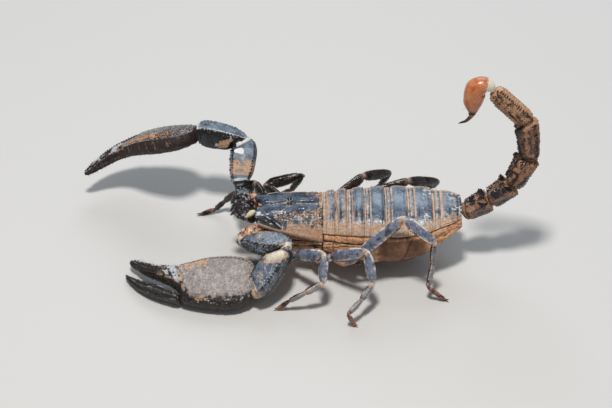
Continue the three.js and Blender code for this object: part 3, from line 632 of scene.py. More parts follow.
def build_tergites():
    start = 0
    for i, length in enumerate(TERGITE_LENGTHS):
        last = i == len(TERGITE_LENGTHS) - 1
        front, rear = start + SEAM / 2, start + length - SEAM / 2 + (0 if last else OVERHANG)
        angles = PLATE_EDGE + (180 - 2 * PLATE_EDGE) * eased(145)
        u, angle, x, base, normal, lift = plate_surface(front, rear, angles, 41, TERGITE_PROFILE)
        edge = np.minimum(angle - PLATE_EDGE, 180 - PLATE_EDGE - angle)
        noise = rough(base, 1.1, 67)
        streak = brushed(x, angle, 1.6, 0.045, 71)
        flank = fall(10, 34, edge + 9 * streak)
        main = step(0.3, 0.42, u)
        grain = granules(base, 0.42, 51) * flank
        keel = 0
        if last:
            for place, width in ((8, 1.3), (27, 1.2)):
                ridge = bell(edge - place, width) * step(0.25, 0.5, u)
                keel += ridge * (0.5 + 0.5 * granules(base, 0.7, 57))
            grain = (granules(base, 0.45, 53) * (0.35 + 0.65 * step(0.35, 0.8, u))
                     * (1 - bell(edge - 54, 25) * 0.8))
        relief = (lift + main * (0.06 * rough(base, 1.8, 61) + 0.03 * rough(base, 0.7, 62) + 0.08 * grain)
                  + 0.28 * keel)
        relief += 0.04 * ripple(base, 0.45, 63) * (1 - main) - 0.05 * bell(angle - 90, 1.6) * main
        relief -= 0.10 * bell(u - 0.88, 0.025) * main
        close = np.minimum(edge / 2.6, (1 - u) * length / 0.16)
        relief -= 0.34 * edge_drop(close)
        surface = base + normal * relief[..., None]
        lip = 0.3 * step(0.8, 1, u) + 0.15 * step(0.9, 1, 1 - u)
        inner = base - normal * (TERGITE_THICKNESS - lip)[..., None]

        worn = TERGITE_WEAR[i]
        lengthy = brushed(x, angle, 3.1, 0.02, 75)
        fibre = brushed(x, angle, 2.2, 0.035, 73)
        edge_lines = bell(u - 0.02, 0.035) + 0.9 * bell(u - 0.31, 0.03) + 0.9 * bell(u - 0.985, 0.022)
        edge_lines += 0.8 * bell(u - 0.14 - 0.02 * streak, 0.028)
        cracks = (bell(u - 0.245, 0.022) + 0.8 * bell(u - 0.075, 0.018)
                  + 0.6 * bell(u - 0.93 - 0.02 * streak, 0.015))
        dust_and_sheen = (flank * (0.85 + 0.45 * noise + 0.45 * streak)
                + 0.9 * edge_lines * step(-0.9, 0.1, noise + streak))
        dust_and_sheen += worn * (0.75 + 0.5 * noise + 1.7 * lengthy) + 0.22 * (1 - main) * (0.5 + 1.4 * noise)
        dust_and_sheen += (1 - flank) * 0.6 * step(0.3, 0.6, fibre) * step(-0.2, 0.4, noise)
        pale = 0.5 * (1 - main) * (0.3 + noise) * (1 - flank) + 0.35 * flank * step(0.1, 0.6, noise)
        pale += 0.4 * edge_lines * step(0.0, 0.5, noise) + (1 - flank) * 0.3 * step(0.3, 0.6, -fibre) * main
        dark = 0.95 * cracks * step(-0.9, 0.0, streak + 0.5 * noise) * (1 - 0.35 * flank)
        dark += main * (1 - flank) * 0.6 * step(0.1, 0.5, fibre - 0.4 * lengthy)
        dark += 0.25 * flank * step(0.25, 0.7, -streak) + 0.2 * grain * fall(-0.3, 0.2, noise)
        if last:
            rubbed = step(0.3, 0.7, grain) * step(0.3, 0.75, u + 0.3 * noise)
            pale += 0.85 * rubbed
            dust_and_sheen += 0.6 * step(0.9, 1.0, u) + 0.4 * step(0.45, 0.95, u) * (0.5 + noise)
            dark += 0.45 * step(0.35, 0.8, u) * fall(0.1, 0.3, grain)
            edge_spots = ripple(base, 0.6, 77)
            pale += 0.9 * step(0.9, 0.95, u) * step(0.15, 0.45, edge_spots)
            dark += 0.9 * step(0.9, 0.95, u) * step(0.1, 0.4, -edge_spots)
        if i >= 5:
            freckles = (step(-0.05, 0.3, rough(base, 0.5, 79 + i)) * step(0.35, 0.8, u + 0.25 * noise)
                        * fall(48, 66, edge))
            pale, dark = pale + 0.75 * freckles * (1 - flank), dark * (1 - 0.8 * freckles)
        masks = clamp(stacked(dust_and_sheen, dark, pale))
        publish(f"tergite_plate_{i + 1}", [plate(surface, inner, masks)], "plate", f"tergite_{i + 1}",
                look="tergite")
        start += length


def build_pleura():
    rear = sum(TERGITE_LENGTHS)
    angle = np.linspace(0, 360, 240, endpoint=False)
    angle = np.where(angle > 180, angle - 360, angle)
    x, angle = np.meshgrid(0.3 + (rear - 0.5) * eased(200), angle, indexing="ij")
    away = np.abs(np.abs(angle) - 90)
    from_side = 90 - away
    level = np.where(angle >= 0, from_side, -from_side)
    shown = fall(PLATE_EDGE - 5, PLATE_EDGE + 1, level) * step(-BELLY_EDGE - 1, -BELLY_EDGE + 5, level)
    base = body_point(x, angle)
    borders = np.cumsum([0, *TERGITE_LENGTHS])
    border = np.min(np.abs(x[..., None] - borders - 0.4 * ripple(base, 2.0, 81)[..., None]), axis=-1)
    fold = rough(base * [0.26, 1.0, 1.25], 1.7, 83)
    line = bell(fold, 0.05) + 0.5 * bell(rough(base * [0.3, 1.1, 1.4], 1.6, 85), 0.05)
    crease = bell(border, 0.2)
    wrinkle = rough(base * [1, 1, 1.6], 0.8, 87)
    seam = bell(x - 20.2 - 0.05 * level, 0.16)
    # Low on the side between x 13 and 25 the skin is smoother and darker brown, with a seam near x 20.
    smooth_dark_band = step(12.6, 14.4, x + 0.5 * wrinkle) * fall(24, 26, x) * fall(19, 27, level + 3 * wrinkle)
    soft = 1 - 0.85 * smooth_dark_band
    front = fall(9, 13, x)
    # Along the front part a deep crease runs along the side, darkened as painted shade.
    bold = bell(level - 12.5 - 3 * ripple(base, 2.2, 89), 1.5) * front
    line = line * (1 - 0.8 * front * step(13, 17, level))
    relief = (-0.1 + soft * (0.5 * np.abs(fold) + 0.14 * wrinkle - 0.3 * crease - 0.24 * line)
              + 0.15 * bell(level + 4, 9))
    relief = shown * (relief - 0.2 * smooth_dark_band * seam - 0.4 * bold) - 0.72 * (1 - shown)
    points = raised(base, relief)
    # Painted shade darkens the fold valleys, the low wrinkles and the band tucked under the plates; the
    # segment borders are darker too.
    dark = soft * (0.5 * line * step(-0.4, 0.4, wrinkle) + 0.3 * crease + 0.4 * step(0.3, 0.8, -wrinkle))
    dark += smooth_dark_band * (0.56 + 0.1 * wrinkle + 0.3 * seam) + 0.8 * (1 - shown) + 0.8 * bold
    dust_and_sheen = soft * (0.5 + 0.6 * wrinkle + 0.6 * fold)
    # Painted light: the high fold crests are paler.
    pale = soft * 0.6 * step(0.2, 0.6, np.abs(fold)) * step(0, 0.4, wrinkle)
    masks = stacked(dust_and_sheen, dark, pale)
    publish("side_skin", [tube(points, masks)], "membrane", "pleura", look="membrane")


STERNITE_EDGES = [6.5, 11.5, 17, 22.5, 28, 34.2]
BREATHING_SLITS = (-52, -128)  # degrees round the body
STERNITE_PROFILE = [[0, -0.32], [0.1, -0.22], [0.2, -0.08], [0.5, 0.02], [0.9, 0.0], [1, -0.12]]


def build_belly():
    parts = []
    for i, (front, rear) in enumerate(zip(STERNITE_EDGES, STERNITE_EDGES[1:])):
        angles = -180 + BELLY_EDGE + (180 - 2 * BELLY_EDGE) * eased(121)
        u, angle, _, base, normal, lift = plate_surface(
            front, rear - STERNITE_GAP, angles, 33, STERNITE_PROFILE)
        edge = np.minimum(angle + 180 - BELLY_EDGE, -BELLY_EDGE - angle)
        slit = 0
        if i < len(STERNITE_EDGES) - 2:
            for place in BREATHING_SLITS:
                turn = (angle - place) / 5.5 + (u - 0.55) * 1.2
                slit = np.maximum(slit, bell(turn, 0.8) * bell(u - 0.55, 0.06))
        relief = lift + 0.03 * rough(base, 2.2, 91) - 0.22 * slit - 0.05 * bell(angle + 90, 1.5)
        close = np.minimum(edge / 2.4, (1 - u) * (rear - front) / 0.2)
        relief -= 0.3 * edge_drop(close)
        surface = base + normal * relief[..., None]
        inner = base - normal * (STERNITE_THICKNESS - 0.25 * step(0.8, 1, u))[..., None]
        noise = rough(base, 1.4, 95)
        dust_and_sheen = 0.25 * step(0.2, 0.9, noise) + 0.5 * bell(u - 0.97, 0.03) + 0.4 * bell(u - 0.06, 0.05)
        masks = stacked(dust_and_sheen, 0.9 * slit + 0.3 * bell(u - 0.2, 0.03), 0 * u)
        parts.append(plate(surface, inner, clamp(masks)))
    publish("belly_plates", parts, "belly", "belly", look="belly")


def build_pectens():
    for sign, name in SIDES:
        path = [[4.2, sign * 1.2, 1.75], [8.4, sign * 6.6, 1.95]]
        spine = limb(path, [[[0, 0.5, 0.3], [0.3, 0.85, 0.36], [0.8, 0.75, 0.36], [1, 0.4, 0.25]]], [1, 0, 0],
                     oval(24), rows=40)
        share = np.linspace(0.12, 0.95, 16)
        roots = np.array(path[0]) + share[:, None] * (np.array(path[1]) - path[0]) + [0.55, 0, -0.1]
        axes = np.array([0.75, -sign * 0.45, -0.06])
        teeth = [capsule(root, axes, 1.15 - 0.3 * abs(s - 0.5), 0.17) for root, s in zip(roots, share)]
        publish(f"comb_{name}", [spine, *teeth], "membrane", f"pecten_{name}", look="membrane")


# ------------------------------------------------------------------ limbs


def oval(count, power=2.0):
    """Outline of an oval with half sizes of 1, starting across."""
    turn = 2 * np.pi * np.arange(count) / count
    return stacked(bend(np.cos(turn), power), bend(np.sin(turn), power))


def loop(corners, count):
    """A smooth closed outline through the corners, evenly spread between them."""
    corners = np.asarray(corners, float)
    number = len(corners)
    place = np.arange(count) * number / count
    i = place.astype(int)
    t = (place - i)[:, None]
    before, here, after, beyond = (corners[(i + k) % number] for k in (-1, 0, 1, 2))
    return 0.5 * (2 * here + (after - before) * t + (2 * before - 5 * here + 4 * after - beyond) * t ** 2
                  + (3 * here - before - 3 * after + beyond) * t ** 3)


CROSSWISE = [0, 1, 0]
# Outlines of limbs, from the side over the upper face: an arm's and a tail length's.
PRISM = [[1, 0.2], [0.8, 0.9], [0, 1], [-0.8, 0.9], [-1, 0.2], [-0.8, -0.7], [0, -1], [0.8, -0.7]]
KEELED = [
    [1, 0.1], [0.94, 0.6], [0.52, 1], [0, 0.76], [-0.52, 1], [-0.94, 0.6], [-1, 0.1],
    [-0.86, -0.55], [-0.42, -1], [0, -0.9], [0.42, -1], [0.86, -0.55],
]


def ring_frames(path, spans, before, after):
    """Rows of place, centre, normal, half width and half height at the stations of a limb."""
    reach = 0.3  # share of a length over which it turns into its neighbour's direction
    path = [np.asarray(point, float) for point in path]
    runs = [unit(b - a) for a, b in zip(path, path[1:])]
    first = runs[0] if before is None else unit(path[0] - before)
    last = runs[-1] if after is None else unit(np.asarray(after, float) - path[-1])
    turns = [first, *runs, last]
    planes = [unit(a + b) for a, b in zip(turns, turns[1:])]
    rows = []
    for i, stations in enumerate(spans):
        start, end = path[i].copy(), path[i + 1].copy()
        if i == 0 and before is not None:
            start += planes[0] * SEAM / 2
        if i == len(spans) - 1 and after is not None:
            end -= planes[i + 1] * SEAM / 2
        for t, half_width, half_height in stations:
            normal = unit(runs[i] + (planes[i] - runs[i]) * max(0, 1 - t / reach)
                          + (planes[i + 1] - runs[i]) * max(0, 1 - (1 - t) / reach))
            rows.append([i + t, *(start + (end - start) * t), *normal, half_width, half_height])
    return np.array(rows)


def limb(path, spans, side, outline, before=None, after=None, rows=60, look=None, rounding=0.35):
    """One length of a limb, smooth through its stations. look gives relief and masks of its points."""
    frames = ring_frames(path, spans, before, after)
    place = np.linspace(frames[0, 0], frames[-1, 0], 200)
    centre = along(frames, place)[:, :3]
    arc = np.concatenate([[0], np.cumsum(np.linalg.norm(np.diff(centre, axis=0), axis=1))])
    reach = eased(rows) * arc[-1]
    place = np.interp(reach, arc, place)
    dense = along(frames, place)
    centre, normal, halves = dense[:, :3], unit(dense[:, 3:6]), np.maximum(dense[:, 6:], 0.02)
    up = unit(np.cross(normal, side))
    across = unit(np.cross(up, normal))
    radius = np.minimum(rounding, 0.6 * halves.min(axis=1))
    near = clamp(np.minimum(reach, arc[-1] - reach) / radius)
    halves = halves - (radius * edge_drop(near))[:, None]
    points = (centre[:, None] + across[:, None] * (outline[None, :, :1] * halves[:, None, :1])
              + up[:, None] * (outline[None, :, 1:] * halves[:, None, 1:]))
    masks = (0, 0, 0)
    if look:
        t, u = np.meshgrid(reach / arc[-1], np.arange(len(outline)) / len(outline), indexing="ij")
        relief, *amounts = look(t, u, points, place[:, None] + 0 * t)
        points = raised(points, relief * (0.25 + 0.75 * near[:, None]))
        masks = np.stack(np.broadcast_arrays(*amounts, t)[:-1], axis=-1)
    return tube(points, masks)


def capsule(root, axis, length, radius, masks=(0.3, 0, 0.3), taper=0.55, curve=(0, 0, 0)):
    """A short round rod that narrows to a blunt tip and may bend towards curve."""
    axis = unit(axis)
    side = unit(np.cross(axis, [0.3, 0.2, 1.0]))
    share = eased(9)
    width = radius * (1 - (1 - taper) * share) * np.sqrt(np.clip(1 - (2 * share - 1) ** 8, 0.02, 1))
    centre = (np.asarray(root, float) + axis * (length * share)[:, None]
              + np.asarray(curve, float) * (length * share[:, None] ** 2))
    rim = oval(10) @ np.stack([side, np.cross(axis, side)])
    return tube(centre[:, None] + rim[None] * width[:, None, None], masks)


def ball(columns, rows):
    """Points of a ball in rings along its last axis, open at its two ends."""
    level = np.linspace(-0.48, 0.48, rows)[:, None] * np.pi
    across, up = oval(columns).T
    return np.cos(level) * across, np.cos(level) * up, np.sin(level) + 0 * across


def blob(centre, radii, axis, masks, bumps=0.06, seed=5, ends=None):
    """A soft rounded swelling of skin at a joint, longest along its axis, with other amounts at its rim."""
    axis = unit(axis)
    side = unit(np.cross(axis, [0.2, 0.1, 1.0]))
    other = np.cross(side, axis)
    across, up, level = ball(48, 32)
    local = stacked(level, across, up) * radii
    points = np.asarray(centre, float) + local @ np.stack([axis, side, other])
    noise = rough(points * [1, 1, 2], 1.1, seed)
    points = raised(points, bumps * noise)
    if ends:
        rim = step(0.62, 0.95, np.abs(level) + 0.2 * noise)[..., None]
        masks = blend(np.array(masks), np.array(ends), rim)
    return tube(points, masks)


# ------------------------------------------------------------------ tail and sting

# Rows of place, width and height along a length of the tail, as shares of its own.
TAIL_PROFILES = {
    "root": [[0, 0.86, 0.86], [0.06, 0.93, 0.92]],
    "front": [[0, 0.74, 0.74], [0.05, 0.86, 0.85]],
    "middle": [[0.13, 0.94, 0.93], [0.4, 1.01, 0.98], [0.62, 1.04, 1.03]],
    "rear": [[0.82, 1.02, 1.06], [0.94, 0.93, 0.97], [1, 0.76, 0.78]],
    "end": [[0.82, 1.0, 1.05], [0.94, 0.84, 0.88], [1, 0.62, 0.62]],
}


def midline(places):
    """Points in the plane of symmetry."""
    return [np.array([x, 0, z]) for x, z in places]


def build_tail():
    joints = midline(TAIL_JOINTS)
    root, beyond = joints[0] - [5, 0, 1.5], midline(TELSON_PATH)[1]
    for i, (half_width, half_height) in enumerate(TAIL_HALF_SIZES):
        long = i == len(TAIL_HALF_SIZES) - 1
        profile = TAIL_PROFILES["front" if i else "root"] + TAIL_PROFILES["middle"]
        profile = profile + TAIL_PROFILES["end" if long else "rear"]
        narrow, tall = (0.26, 1.08) if long else (0.0, 1)
        stations = [[t, w * half_width * (1 - narrow * t), h * half_height * (tall - narrow * t)]
                    for t, w, h in profile]
        axis = unit(joints[i + 1] - joints[i])

        def look(t, u, points, place, i=i, long=long, axis=axis):
            grain = granules(points, 0.5, 101 + i)
            fine = granules(points, 0.3, 111 + i)
            noise = rough(points, 1.0, 121 + i)
            patch = rough(points * [0.75, 0.75, 1], 1.7, 131 + i)
            length = 11.8 if long else 8.0
            corner = u * 12
            tooth = wave(t * length * 1.55, 4 * ripple(points, 1.5, 141))
            relief, keels = 0.0, 0.0
            dorsal = (2, 4)
            lateral = (0.5, 5.5) if long else (0.6, 5.4, 7, 11)
            ventral = (7.4, 9, 10.6) if i >= 3 else (8, 9, 10)
            heights = (0.2, 0.26, 0.3) if long else (0.34, 0.26, 0.22)
            for places, strength in zip((dorsal, lateral, ventral), heights):
                for keel in places:
                    sway = 0.16 * ripple(points, 1.9, 143 + int(10 * keel))
                    around = np.abs((corner - keel + 6) % 12 - 6) + sway
                    ridge = bell(around, 0.24) * window(0.04, 0.14, 0.92, 0.99, t)
                    relief += strength * ridge * (0.25 + 0.75 * tooth)
                    keels += ridge * (0.3 + 0.7 * tooth) * (0.2 if i >= 3 and keel == 9 else 1)
            covered = clamp(keels)
            crest = 0.0
            if not long:
                crest = sum(bell(corner - keel, 0.42) for keel in dorsal) * bell(t - 0.87, 0.085)
                crest = crest * (0.35 if i == 3 else 1)
                relief += 0.75 * crest
            hollow = bell(corner - 3, 0.8) * step(0.1, 0.3, t)
            smooth_face = step(0.1 + 0.12 * i, 0.4 + 0.12 * i, patch + 0.2 * noise) * fall(1.2, 2.6, i)
            relief = (relief * (1 - 0.4 * smooth_face) - 0.16 * hollow
                      + (0.12 * grain + 0.06 * fine) * (1 - 0.8 * smooth_face))
            relief += (0.12 * noise + 0.14 * patch - 0.12 * bell(t - 0.07, 0.03)
                       + 0.1 * bell(t - 0.9, 0.035))
            stretched = points - 0.65 * (points @ axis)[..., None] * axis
            streak = rough(stretched, 0.8, 161 + i)
            mottle = rough(points, 0.55, 171 + i)
            blotch = step(0.1, 0.5, patch + 0.45 * noise + 0.25 * covered - 0.1 - 0.1 * long)
            dark = (0.85 * keels * step(-0.85, 0.0, noise + patch) + 0.9 * smooth_face + 0.7 * blotch
                    + 0.7 * crest)
            dark += (0.6 * step(0.1, 0.45, streak) * step(-0.5, 0.1, mottle)
                     + 0.4 * step(0.2, 0.5, mottle))
            dark += 0.8 * step(0.3, 0.65, grain) * step(-0.35, 0.25, noise) + 0.6 * bell(t - 0.03, 0.04)
            dark += 0.45 * step(0.15, 0.6, -noise) * (1 - 0.4 * long)
            dust_and_sheen = ((0.5 + 0.9 * noise - 0.8 * streak + 0.4 * fine) * (1 - 0.6 * covered)
                    * (1 - 0.8 * smooth_face))
            dust_and_sheen += 0.4 * bell(t - 0.985, 0.03)
            pale = 0.4 * step(0.4, 0.8, ripple(points, 0.5, 151)) * step(0.2, 0.6, dust_and_sheen)
            if i >= 3:
                # Between the ventral keels of the last two lengths runs a lighter tan band, partly the
                # cuticle's own tan and partly painted light, with pale painted highlights in it.
                strip = bell(corner - 9, 1.5) * step(0.04, 0.14, t) * (1 - 0.9 * covered)
                dust_and_sheen, dark = dust_and_sheen + 0.7 * strip, dark * (1 - 0.85 * strip)
                pale += (0.45 if long else 0.2) * strip * step(-0.3, 0.3, noise)
            if i == 3:
                side_line = bell(corner - 5.8, 0.22) * step(0.1, 0.2, t)
                inner_face = window(2.8, 3.3, 5.0, 5.5, corner)
                dust_and_sheen, dark = dust_and_sheen + 0.9 * side_line, (dark + 0.45 * inner_face) * (1 - 0.8 * side_line)
            if i == 2:
                low = fall(0.35, 0.6, t + 0.2 * noise) * fall(6.2, 7.2, corner + noise)
                dark += 0.5 * low * step(-0.4, 0.2, mottle)
                dust_and_sheen += 0.4 * (1 - low) * step(0.45, 0.6, t)
            if i < 2:
                glint = smooth_face * step(0.05, 0.45, streak) * step(-0.3, 0.2, mottle)
                glint = clamp(glint + 0.6 * bell(t - 0.08, 0.05) * step(0.3, 0.6, mottle))
                dark, pale = dark * (1 - 0.8 * glint), pale + 0.8 * glint
            return relief, dust_and_sheen, dark, pale

        parts = [limb([joints[i], joints[i + 1]], [stations], CROSSWISE, loop(KEELED, 168),
                      before=joints[i - 1] if i else root, after=beyond if long else joints[i + 2],
                      rows=150 if long else 110, look=look, rounding=0.7)]
        neck = 0.74 if i else 0.9
        parts.append(joint_skin(joints[i], axis, neck * half_width, neck * half_height, CROSSWISE,
                                (0.7, 0.35, 0.1)))
        parts.append(limb_hairs(joints[i], joints[i + 1], half_width, half_height, CROSSWISE, 26, 0.9,
                                200 + i))
        finish = "tail_end" if long else "tail_base" if i < 2 else "tail"
        publish(f"tail_segment_{i + 1}", parts, "tail", f"tail_{i + 1}", look=finish)


def limb_axes(start, end, side):
    """Directions along a length of a limb, across it and up from it."""
    direction = unit(np.asarray(end) - start)
    up = unit(np.cross(direction, side))
    return direction, np.cross(up, direction), up


def joint_skin(centre, direction, half_width, half_height, side, masks):
    """The soft skin in the seam between two lengths of a limb."""
    reach = 0.75
    dust_and_sheen, dark, pale = masks
    path = [np.asarray(centre) + unit(direction) * way for way in (-reach, reach)]
    spans = [[[0, 0.75 * half_width, 0.75 * half_height], [0.5, half_width, half_height],
              [1, 0.75 * half_width, 0.75 * half_height]]]

    def look(t, u, points, place):
        fold = np.sin(t * 26 + 2 * ripple(points, 0.8, 7))
        relief = 0.05 * fold + 0.04 * rough(points, 0.7, 9)
        # On the folds, more dust colour on the crests and more dark in the troughs: painted light and shade.
        return relief, dust_and_sheen + 0.2 * fold, dark + 0.3 * step(0.4, 1, -fold), pale

    return limb(path, spans, side, oval(40), rows=26, look=look)


def limb_hairs(start, end, half_width, half_height, side, count, length, seed):
    """Scattered bristles that stand out from a length of a limb."""
    random = np.random.default_rng(seed)
    direction, across, up = limb_axes(start, end, side)
    turn = random.uniform(0, 2 * np.pi, count)
    share = random.uniform(0.12, 0.9, count)
    out = np.cos(turn)[:, None] * across + np.sin(turn)[:, None] * up
    size = 0.86 / np.sqrt((np.cos(turn) / half_width) ** 2 + (np.sin(turn) / half_height) ** 2)
    roots = np.asarray(start) + (np.asarray(end) - start) * share[:, None] + out * size[:, None]
    return hairs(roots, out + 0.4 * direction, length, seed)


def build_telson():
    bulb, tip, before = midline(TELSON_PATH), midline(STING_PATH), midline(TAIL_JOINTS)[4]
    sizes = [
        [[0, 1.2, 1.3], [0.5, 1.5, 1.5]],
        [[0.2, 2.0, 1.9]],
        [[0, 2.4, 2.4], [0.5, 2.45, 2.5]],
        [[0.1, 2.1, 2.2], [0.6, 1.4, 1.6], [1, 0.9, 1.0]],
    ]

    def bulb_look(t, u, points, place):
        noise = rough(points, 1.2, 161)
        dimple = granules(points, 0.7, 163, 0.12, 0.25)
        stripe = bell((u * 4) % 1 - 0.5, 0.18)
        relief = 0.05 * noise - 0.03 * dimple - 0.04 * stripe * step(0.3, 0.5, t)
        pale = 0.95 * fall(0.05, 0.24, t + 0.12 * noise) + 0.25 * step(0.3, 0.8, noise) * fall(0.4, 0.6, t)
        streak = rough(points * [1, 1, 0.4], 0.9, 167)
        dark = 0.8 * step(0.8, 1.0, t) + 0.4 * step(0.1, 0.6, streak) * step(0.1, 0.3, t)
        return relief, 0.25 + 0.3 * noise - 0.5 * streak, dark, pale

    parts = [limb(bulb, sizes, CROSSWISE, oval(96), before=before, after=tip[1], rows=120, look=bulb_look)]
    parts.append(joint_skin(bulb[0], unit(bulb[1] - bulb[0]), 0.9, 0.95, CROSSWISE, (0.1, 0, 1.0)))
    for a, b in zip(bulb[1:], bulb[2:]):
        parts.append(limb_hairs(a, b, 2.2, 2.2, CROSSWISE, 9, 0.8, 210))
    publish("venom_bulb", parts, "venom", "telson", look="venom")

    spans = [
        [[0, 0.82, 0.92], [0.6, 0.6, 0.66]],
        [[0, 0.48, 0.52]],
        [[0, 0.33, 0.36], [0.6, 0.2, 0.22], [1, 0.06, 0.07]],
    ]

    def sting_look(t, u, points, place):
        return 0 * t, 0.85 * fall(0.0, 0.45, t), step(0.5, 0.9, t), 0 * t

    point = limb(tip, spans, CROSSWISE, oval(40), before=bulb[3], rows=80, look=sting_look, rounding=0.06)
    publish("sting_point", [point], "fang", "sting", look="sting")


# ------------------------------------------------------------------ legs

# Rows of place, half width and half height, one list to each length.
FEMUR_STATIONS = [
    [[0, 0.8, 0.9], [0.5, 1.05, 1.2], [0.85, 0.95, 1.1]],
    [[0.06, 0.72, 0.95], [0.2, 1.0, 1.5], [0.8, 1.0, 1.5], [0.93, 0.92, 1.3], [1, 0.75, 1.0]],
]
PATELLA_STATIONS = [[[0, 0.75, 0.95], [0.1, 0.9, 1.2], [0.25, 1.0, 1.45], [0.75, 0.95, 1.3], [1, 0.62, 0.8]]]
FOOT_STATIONS = [
    [[0, 0.5, 0.6], [0.3, 0.7, 0.85], [0.8, 0.68, 0.78], [0.94, 0.6, 0.68]],
    [[0.04, 0.45, 0.5], [0.4, 0.56, 0.65], [0.85, 0.52, 0.58], [0.95, 0.46, 0.5]],
    [[0.05, 0.38, 0.4], [0.3, 0.5, 0.55], [0.8, 0.45, 0.5], [1, 0.3, 0.3]],
]
LEG_OUTLINE = [
    [1, 0.05], [0.76, 0.66], [0, 1.02], [-0.76, 0.66],
    [-1, 0.05], [-0.7, -0.68], [0, -0.98], [0.7, -0.68],
]


def coxa_root(hip):
    """Inner end of the leg base under the body."""
    return np.array([min(hip[0] - 2.4, -1.6), hip[1] * 0.4, 6.4])


def leg_look(seed, near, grooves=()):
    """Cuticle of a leg's length: dusty edges and ends, a dark underside and a pale granular upper keel."""

    def look(t, u, points, place):
        noise = rough(points, 1.1, seed)
        detail = rough(points, 0.5, seed + 5)
        grain = granules(points, 0.4, seed + 3, 0.25, 0.6)
        upper = bell(np.abs(u - 0.25), 0.045)
        under = window(0.55, 0.66, 0.84, 0.95, u)
        lower_edges = bell(u - 0.6, 0.05) + bell(u - 0.9, 0.05)
        relief = (0.07 * noise + 0.05 * detail + 0.06 * upper * (0.4 + grain) + 0.07 * lower_edges
                  + 0.05 * grain)
        dust_and_sheen = 0.75 * lower_edges * (0.7 + noise) + 0.9 * bell(t, 0.07) + 0.9 * bell(t - 1, 0.06)
        # On the near legs, where near is 1, the dust colour is stronger, as painted light.
        dust_and_sheen += (0.28 + 0.3 * near) * step(0.1, 0.6, 0.6 * noise + 0.8 * detail) + 0.15 * near * upper
        # The far legs, where near is 0, get extra dark as painted shade.
        dark = (0.9 * under + (0.25 - 0.25 * near)
                + 0.7 * step(0.4, 0.75, grain) * step(-0.1, 0.4, noise) * (0.4 + lower_edges))
        dark += 0.55 * step(0.1, 0.6, 0.5 * detail - noise)
        # The pale granules of the upper keel are brightened on the near legs as a painted highlight, and
        # their lower edges get painted highlights too.
        pale = 0.5 * bell(t, 0.04) + (0.25 + 0.65 * near) * upper * step(-0.3, 0.3, noise)
        pale += (0.6 * lower_edges * near * step(-0.1, 0.4, detail)
                 + 0.3 * near * step(0.5, 0.8, -detail))
        # Painted highlights along the lower rims of the near legs.
        rim = (near * (bell(u - 0.57, 0.02) + bell(u - 0.93, 0.02))
               * step(-0.15, 0.5, noise + 0.7 * detail) * (1 - bell(t, 0.15)))
        face = near * (bell(u - 0.49, 0.07) + bell(u - 0.01, 0.07)) * step(-0.5, 0.5, -noise - 0.7 * detail)
        dust_and_sheen = dust_and_sheen * (1 - 0.8 * rim) + 0.3 * face * step(0.1, 0.5, detail)
        dark = (dark + 0.5 * face) * (1 - rim)
        pale += 0.95 * rim
        for groove in grooves:
            close = bell(place - groove, 0.035)
            relief = relief - 0.16 * close
            dust_and_sheen += 0.6 * bell(place - groove, 0.06)
            pale += 0.4 * close
        return relief, dust_and_sheen, dark, pale

    return look


